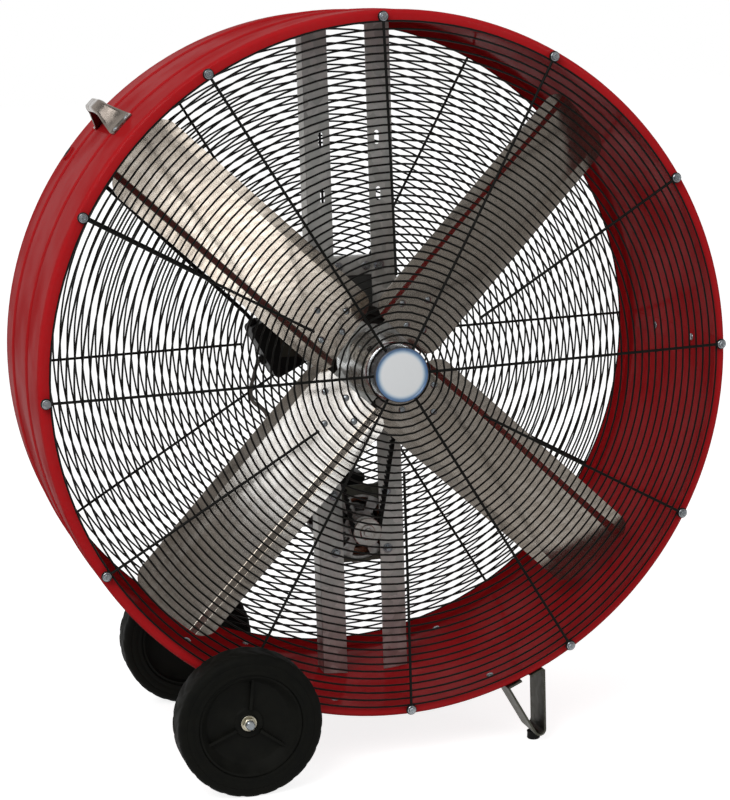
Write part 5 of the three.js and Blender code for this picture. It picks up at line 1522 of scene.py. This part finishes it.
@dataclass(frozen=True)
class Cables:
    """The mains lead to the grommet in the drum's wall, and the slack lead down to the motor."""

    box: SwitchBox
    drum: Drum
    mains_radius: float = 4.0
    lead_radius: float = 3.6
    mains_y: float = 183.0
    wall_gap: float = 6.3

    def mains(self) -> np.ndarray:
        """The mains lead's line: out of the box's top, a short bend, and straight to the wall."""
        start, turn = self.box.point(-23, 55.3, self.mains_y), self.box.point(-23, 69, self.mains_y)
        end = polar(self.drum.inner - self.wall_gap, self.drum.hole_angle, self.mains_y)
        away = (end - turn) / np.linalg.norm(end - turn)
        after = turn + 20 * away
        t = np.linspace(0, 1, 12)[:, None]
        bend = (1 - t) ** 2 * start + 2 * t * (1 - t) * turn + t * t * after
        run = after + np.linspace(0, 1, 30)[1:, None] * (end - after)
        return np.vstack([bend, run])

    def lead(self) -> np.ndarray:
        """The motor lead's line, through points chosen by hand."""
        box = self.box
        points = [box.point(-37.8, -15, 185), box.point(-49.5, -15, 185), box.point(-73.5, -37, 182),
                  box.point(-87.5, -51, 177), box.point(-96.5, -71, 167), box.point(-87.5, -101, 155),
                  (-132.3, 139.9, -216), (-116.3, 131.9, -306), (-86.3, 131.9, -336), (-70.3, 131.9, -336)]
        # The motor lead's line, through given points.
        return smooth_line(points, 10)

    def grommet(self) -> None:
        """The grommet in the drum's wall: a rubber spool, and a thin painted cap over its outer end."""
        inner, outer = self.drum.inner - 1.3, self.drum.radius + 0.3
        spool = [(4.3, inner - 7), (6.8, inner - 7), (7.6, inner - 4), (12, inner - 4), (13.4, inner - 3.2),
                 (14, inner - 2), (14, inner), (9.7, inner), (9.7, outer), (14, outer), (14, outer + 1),
                 (13.4, outer + 2.2), (12, outer + 3), (4.3, outer + 3)]
        cap = [(4.4, outer + 1.1), (12, outer + 3.05), (13.45, outer + 2.25), (14.05, outer + 1),
               (14.05, outer), (4.4, outer)]
        part = Part("grommet_spool")
        middle, out = tuple(polar(0, 0, self.mains_y)), tuple(polar(1, self.drum.hole_angle))
        for finish, line in ((RUBBER, spool), (RED_PAINT, cap)):
            part.add(finish, aimed(turned([(r, -y) for r, y in line], 32), middle, out))
        part.build("frame", "rubber", ["cable_grommet"])

    def build(self) -> None:
        runs = (("mains_lead", self.mains(), self.mains_radius, SHEATH, "power_cable", "rubber", "taut"),
                ("motor_lead_loop", self.lead(), self.lead_radius, GREY_SHEATH, "motor_lead", "grey_cable",
                 "loose"))
        for name, path, radius, finish, node, slot, lay in runs:
            made = Part(name).add(finish, tube(path, radius, 14, (0, 1, 0.15))).build("frame", slot, [node])
            metres = path * MM + (0, 0, AXIS_HEIGHT * MM)
            2 * radius * MM
            log.info("%s is %.3f m long", name, length_of(path) * MM)
        self.grommet()


# ---------------------------------------------------------------- wheels, legs and handle


@dataclass(frozen=True)
class Wheels:
    """Two wheels on one axle: moulded discs with ribs, solid tyres with lugs, washers and nuts."""

    axle_x: float = -301.0
    axle_z: float = 127.0 - AXIS_HEIGHT
    axle_radius: float = 8.0
    axle_half: float = 307.3
    radius: float = 127.0
    width: float = 67.0
    middle_y: float = 279.5
    shoulder: float = 11.0
    rim: float = 91.0
    recess: float = 27.0
    cone: float = 74.0
    web: float = 8.0
    boss: float = 26.0
    rib_turn: float = 83.0
    nut_seat: float = 289.3
    sides: int = 288
    lugs: int = 24
    lug_depth: float = 0.9
    lug_slant: float = 0.006
    ribs: int = 3

    def tyre(self) -> Solid:
        """The tyre: round shoulders, two rings on each sidewall, and slanted lugs across the tread."""
        h, r, s, a = self.width / 2, self.radius, self.shoulder, self.rim
        wall = [(a + 0.3, -h + 1.5), (a + 1.5, -h + 0.3), (a + 5, -h), (a + 7, -h + 0.9), (a + 9, -h + 0.9),
                (a + 11, -h), (r - s - 6, -h), (r - s - 4.5, -h + 0.8), (r - s - 3, -h)]
        curve = arc(s, -90, 0, 6, (r - s, -h + s))
        tread = np.stack([np.full(5, r), np.linspace(-h + s + 4, 0, 5)], -1)
        half = np.vstack([wall, curve, tread])
        profile = np.vstack([half, half[-2::-1] * (1, -1)])
        on_tread = (profile[:, 0] > r - 4.5).astype(float)
        slant = profile[:, 1] * self.lug_slant

        def lift(angle: np.ndarray, column: np.ndarray) -> np.ndarray:
            wave = np.tanh(6 * (np.cos(self.lugs * (angle + np.abs(slant[column]))) - 0.62))
            return -self.lug_depth * on_tread[column] * (0.5 + 0.5 * wave)

        return wavy(profile, self.sides, lift)

    def disc(self) -> list[Solid]:
        """The disc, its outer side to -y: a rim, a coned recess, a boss and three ribs."""
        h, bore = self.width / 2, self.axle_radius + 0.3
        front = -h + self.recess
        back = front + self.web
        hub, cone, a = self.boss, self.cone, self.rim
        body = turned([
            (bore, front - 3), (hub - 1.5, front - 3), (hub, front - 1.5), (hub + 3, front),
            (cone - 3, front), (cone, front - 1.5), (a - 6, -h + 7), (a - 4.5, -h + 5), (a - 1, -h + 5),
            (a, -h + 6), (a, h - 6), (a - 1, h - 5), (a - 5, h - 5), (a - 5, back + 6), (cone, back),
            (hub, back), (hub - 4, h), (bore, h)], 96)
        web = rounded([(hub - 2, front - 9), (hub + 4, front - 9.5), (cone + 4, front - 8),
                       (cone + 9, front - 14), (cone + 9, front + 2), (hub - 2, front + 2)], 2)
        rib = prism(web, -2.5, 2.5, Facing.TOP)
        collar = [(bore, front - 5), (15, front - 5), (17, front - 3.2), (17, front), (bore, front)]
        step = 360 / self.ribs
        return [body, turned(collar, 48), *[rib.swung(self.rib_turn + step * k) for k in range(self.ribs)]]

    def nut(self) -> list[Solid]:
        """The end nut on its washer, facing -y with its seat at y = 0."""
        washer = turned([(8.3, -2), (13.4, -2), (14, -1.4), (14, 0), (8.3, 0)], 32)
        crown = [(8.3, -11), (10, -11), (12, -9.6), (12, -1.6), (8.3, -1.6)]
        return [washer, turned(crown, 6)]

    def on_axle(self, end: End, name: str, finish: Finish, y: float, solids: Sequence[Solid]) -> Part:
        """A piece on the axle, y from the middle; at the rear it is the front's one turned about."""
        sided = [solid.flipped() if end is End.REAR else solid for solid in solids]
        placed = [solid.shifted(self.axle_x, end.value * y, self.axle_z) for solid in sided]
        return Part(f"{end.label}_{name}").add(finish, *placed)

    def build(self) -> None:
        """Builds the wheels, their nuts and the axle."""
        for end in End:
            body = f"{end.label}_wheel"
            disc = self.on_axle(end, "wheel_moulding", DISC, self.middle_y, self.disc())
            disc.build(body, "black_plastic", [f"{body}_disc"], bevel=0.6)
            tyre = self.on_axle(end, "wheel_rubber", TYRE, self.middle_y, [self.tyre()])
            tyre.build(body, "tyre_rubber", [f"{body}_tyre"], sharp=45)
            nut = self.on_axle(end, "axle_hex", NUT_PLATE, self.nut_seat, self.nut())
            nut.build("frame", "bright_steel", [f"{end.label}_axle_nut"], bevel=0.3)
            finish_node(f"{end.label}_axle_bracket", ZINC)
        r, length, turns = self.axle_radius, self.axle_half, 60
        along = np.linspace(-length + 1.5, -length + 40, turns)
        thread = np.stack([r - 0.5 * (np.arange(turns) % 2), along], -1)
        line = [(0, -length), (r - 1.5, -length), *thread, *(thread[::-1] * (1, -1)), (r - 1.5, length),
                (0, length)]
        rod = turned(line, 32, False).shifted(self.axle_x, 0, self.axle_z)
        Part("axle_rod").add(BOLT_STEEL, rod).build("frame", "bright_steel", ["wheel_axle"])


@dataclass(frozen=True)
class Legs:
    """Two legs, each a strap bent into a V over a rubber foot, riveted to the drum by its tabs."""

    drum: Drum
    x: float = 264.0
    sheet: float = 4.0
    width: float = 75.0
    bend: float = 10.0
    slant: float = 28.8
    tab: float = 26.0
    foot_radius: float = 12.0
    foot_height: float = 15.0

    def line(self) -> np.ndarray:
        """The strap's middle line: right tab, down the upright side, round the bend and up the slant."""
        reach = self.drum.radius + 1
        slant = math.radians(self.slant)

        def on_wall(x: float) -> float:
            return -math.sqrt(reach ** 2 - x * x) - self.sheet / 2

        bend_x = self.x - self.bend
        bend_z = FLOOR_Z + self.foot_height + 0.3 + self.sheet / 2 + self.bend
        turn = arc(self.bend, 0, -180 + self.slant, 10, (bend_x, bend_z))
        last = Vector(turn[-1])
        up = Vector((-math.sin(slant), math.cos(slant)))
        limit = reach + self.sheet / 2
        along = last.dot(up)
        climb = -along - math.sqrt(along ** 2 - last.length_squared + limit ** 2)
        top = last + up * climb
        tab, shoulder, far = self.x - self.tab, self.x - 3, top.x + self.tab
        return np.array([(tab, on_wall(tab)), (shoulder, on_wall(shoulder) + 0.3),
                         (self.x, on_wall(self.x) - 3), *turn, tuple(top - up * 3),
                         tuple(top + Vector((3, -0.6))), (far, on_wall(far))])

    def build(self) -> None:
        """Builds both legs and their feet."""
        line = self.line()
        for end in End:
            y0 = self.drum.half_depth - self.width if end is End.REAR else -self.drum.half_depth
            part = Part(f"{end.label}_leg_strap")
            part.add(DARK_AND_SHADED_ZINC, prism(strip(line, self.sheet - 0.2), y0 + 0.2, y0 + self.width - 0.2))
            for x in (self.x - self.tab + 8, float(line[-1][0]) - 8):
                out = Vector((x, 0, -math.sqrt(self.drum.radius ** 2 - x * x))).normalized()
                for y in (y0 + 18, y0 + self.width - 18):
                    at = out * (self.drum.radius + 1 + self.sheet)
                    part.add(BOLT_STEEL, aimed(dome_rivet(5, 2.4), (at.x, y, at.z), tuple(out)))
            part.build("frame", "galvanised", [f"{end.label}_leg"], bevel=0.7)
            r, h = self.foot_radius, self.foot_height
            shape = [(0, 0), (4, 0), (5, 1.2), (r - 3.4, 1.2), (r - 2.4, 0), (r - 1.6, 0), (r, 1.8),
                     (r - 0.6, h - 3), (r, h - 2), (r, h), (0, h)]
            foot = turned([(a, -b) for a, b in shape], 40, False)
            at = (self.x - self.bend, y0 + self.width / 2, FLOOR_Z)
            pad = Part(f"{end.label}_rubber_foot").add(RUBBER, aimed(foot, at, (0, 0, 1)))
            pad.build("frame", "rubber", [f"{end.label}_leg_foot"])


@dataclass(frozen=True)
class Handle:
    """The arched handle of plated strap, its grip's edges rolled down."""

    drum: Drum
    angle: float = 134.7
    half: float = 112.0
    rise: float = 50.0
    sheet: float = 3.0
    foot_half: float = 23.5
    grip_half: float = 12.5
    foot: float = 26.0
    ramp: float = 52.0
    skirt: float = 7.0
    rivet_in: float = 13.0
    rivet_x: float = 13.0

    def build(self) -> None:
        """Builds the strap: its height and width follow a smooth step s from foot to grip, 3s^2 - 2s^3."""
        wall, half = self.drum.radius, self.half
        base, crest = wall + 0.4, wall + self.rise - self.sheet
        ends = [-half + self.foot, half - self.foot]
        y = np.unique(np.concatenate([np.linspace(-half, half, 61), ends]))
        s = np.clip((half - self.foot - np.abs(y)) / self.ramp, 0, 1)
        step = (s * s * (3 - 2 * s))[:, None]
        end = np.clip((np.abs(y) - half + 7) / 7, 0, 1)[:, None]
        width = self.foot_half + (self.grip_half - self.foot_half) * np.clip(1.25 * step, 0, 1) - 5 * end ** 3
        across = np.linspace(-1, 1, 25)
        drop = self.skirt * np.clip((np.abs(across) - 0.62) / 0.38, 0, 1) ** 2 * step
        curve = (wall - np.sqrt(wall ** 2 - (width * across) ** 2)) * (1 - step)
        height = base + (crest - base) * step - drop - curve
        under = np.stack([width * across, y[:, None] + 0 * across, height], -1)
        strap = sheet_of(under + (0, 0, self.sheet), under)
        part = Part("handle_strap").add(NICKEL, strap.swung(self.angle - 90))
        for y_rivet in (-half + self.rivet_in, half - self.rivet_in):
            for x in (-self.rivet_x, self.rivet_x):
                head = aimed(dome_rivet(4.6, 2.6), (x, y_rivet, wall + self.sheet + 0.1), (0, 0, 1))
                part.add(BOLT_STEEL, head.swung(self.angle - 90))
        part.build("frame", "bright_steel", ["handle"], sharp=50)


# ---------------------------------------------------------------- stage


WHITE: Color = (1.0, 1.0, 1.0)
BLACK: Color = (0.0, 0.0, 0.0)


@dataclass(frozen=True)
class Softbox:
    """A soft square light: its place, its side in metres, its power in watts and its tint."""

    name: str
    at: Point
    size: float
    power: float
    tint: Color = WHITE

    def build(self, target: Point) -> None:
        """Hangs the light, turned to its target."""
        data = bpy.data.lights.new(self.name, "AREA")
        data.shape, data.size, data.energy, data.color = "SQUARE", self.size, self.power, self.tint
        lamp = bpy.data.objects.new(self.name, data)
        lamp.location = self.at
        lamp.rotation_mode = "QUATERNION"
        lamp.rotation_quaternion = (Vector(target) - Vector(self.at)).to_track_quat("-Z", "Y")
        bpy.context.scene.collection.objects.link(lamp)


@dataclass(frozen=True)
class Stage:
    """The pale floor, the white surroundings, the soft lights and the camera, in metres and degrees."""

    camera_at: Point = (-1.0479, -3.8253, 1.3319)
    yaw: float = 15.377
    pitch: float = -10.153
    roll: float = -1.8105
    lens: float = 98.35
    sensor: float = 36.0
    fill: float = 0.45
    surround: float = 1.0
    dim_side: float = 0.38
    dim_span: tuple[float, float] = (-0.35, 0.15)
    floor_half: float = 30.0
    floor_tone: Color = (0.55, 0.55, 0.55)
    floor_light: float = 0.82
    near_floor: float = 0.1
    near_span: tuple[float, float] = (-1.1, -0.3)
    aim: Point = (0.0, 0.0, 0.7)
    lights: tuple[Softbox, ...] = (
        Softbox("key", (-2.8, -3.6, 4.2), 3.0, 150.0),
        Softbox("right_softbox", (2.46, -3.4, 2.36), 0.85, 3.4),
        Softbox("right_middle_softbox", (2.42, -3.36, 2.34), 0.5, 2.6),
        Softbox("strip_softbox", (1.85, -4.0, 2.0), 0.55, 3.2),
        Softbox("camera_softbox", (-1.2, -4.85, 1.9), 0.7, 6.5, (0.82, 0.9, 1.0)))

    @staticmethod
    def ray(shader: Shader, kind: str) -> Socket:
        """1 for a ray of this kind, 0 for any other."""
        return shader.node("ShaderNodeLightPath", out=f"Is {kind} Ray")

    def seen(self, shader: Shader) -> Socket:
        """1 for a ray that the camera, a reflection or a clear material sends, and 0 for the light's own."""
        rays = [self.ray(shader, kind) for kind in ("Camera", "Glossy", "Transmission")]
        return (rays[0] + rays[1] + rays[2]).apply("MINIMUM", 1.0)

    def world(self) -> None:
        """White to look at, dimmer in reflections on the camera's side, and a weaker white as light."""
        world = bpy.data.worlds.new("white_surroundings")
        bpy.context.scene.world = world
        world.use_nodes = True
        shader = Shader(world.node_tree)
        lit = shader.node("ShaderNodeBackground", {"Color": WHITE, "Strength": self.fill})
        direction = shader.node("ShaderNodeTexCoord", out="Generated")
        towards = shader.node("ShaderNodeSeparateXYZ", {0: direction}, out="Y")
        level = towards.ramp(*self.dim_span, self.dim_side, self.surround)
        level = level.apply("MAXIMUM", self.ray(shader, "Camera"))
        shown = shader.node("ShaderNodeBackground", {"Color": WHITE, "Strength": level})
        both = shader.node("ShaderNodeMixShader", {0: self.seen(shader), 1: lit, 2: shown})
        shader.node("ShaderNodeOutputWorld", {"Surface": both})

    def floor(self) -> None:
        """A wide pale floor that keeps the object's shadow, dimmer in reflections on the camera's side."""
        h = self.floor_half
        mesh = bpy.data.meshes.new("floor")
        mesh.from_pydata([(-h, -h, 0), (h, -h, 0), (h, h, 0), (-h, h, 0)], [], [(0, 1, 2, 3)])
        plane = bpy.data.objects.new("floor", mesh)
        bpy.context.scene.collection.objects.link(plane)
        material = bpy.data.materials.new("pale_floor")
        material.use_nodes = True
        shader = Shader(material.node_tree)
        matt = shader.node("ShaderNodeBsdfDiffuse", {"Color": self.floor_tone})
        depth = shader.node("ShaderNodeSeparateXYZ", {0: shader.place()}, out="Y")
        near = depth.ramp(*self.near_span, self.near_floor, 1.0)
        strength = near.apply("MAXIMUM", self.ray(shader, "Camera")) * self.floor_light
        glow = shader.node("ShaderNodeEmission", {"Color": WHITE, "Strength": strength})
        dark = shader.node("ShaderNodeEmission", {"Color": BLACK, "Strength": 0.0})
        masked = shader.node("ShaderNodeMixShader", {0: self.seen(shader), 1: dark, 2: glow})
        surface = shader.node("ShaderNodeAddShader", {0: matt, 1: masked})
        shader.node("ShaderNodeOutputMaterial", {"Surface": surface})
        mesh.materials.append(material)

    def camera(self) -> None:
        """The camera, matched to the photograph by its position, its three angles and its lens."""
        yaw, pitch, roll = map(math.radians, (self.yaw, self.pitch, self.roll))
        ahead = Vector((math.sin(yaw) * math.cos(pitch), math.cos(yaw) * math.cos(pitch), math.sin(pitch)))
        right = Vector((math.cos(yaw), -math.sin(yaw), 0))
        up = right.cross(ahead)
        level, tipped = math.cos(roll), math.sin(roll)
        right, up = level * right + tipped * up, -tipped * right + level * up
        data = bpy.data.cameras.new("camera")
        data.lens, data.sensor_width = self.lens, self.sensor
        made = bpy.data.objects.new("camera", data)
        turned_to = Matrix((right, up, -ahead)).transposed().to_4x4()
        made.matrix_world = Matrix.Translation(self.camera_at) @ turned_to
        bpy.context.scene.collection.objects.link(made)
        bpy.context.scene.camera = made

    def build(self) -> None:
        """Builds the stage."""
        self.world()
        self.floor()
        for light in self.lights:
            light.build(self.aim)
        self.camera()
        bpy.context.scene.view_settings.view_transform = "Standard"


def main() -> None:
    """Builds the fan from its drum outwards, then the stage."""
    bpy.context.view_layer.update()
    drum, blades, box = Drum(), Blades(), SwitchBox()
    steps = [drum, Guards(), GuardBolts(), GuardBadge(), Posts(), CrossAngles(), BearingUnit(), blades,
             HubAndShaft(blades), BeltDrive(), Motor(), box, Cables(box, drum), Wheels(), Legs(drum),
             Handle(drum), Stage()]
    for step in steps:
        step.build()
        log.info("built %s", type(step).__name__)


if __name__ == "__main__":
    main()
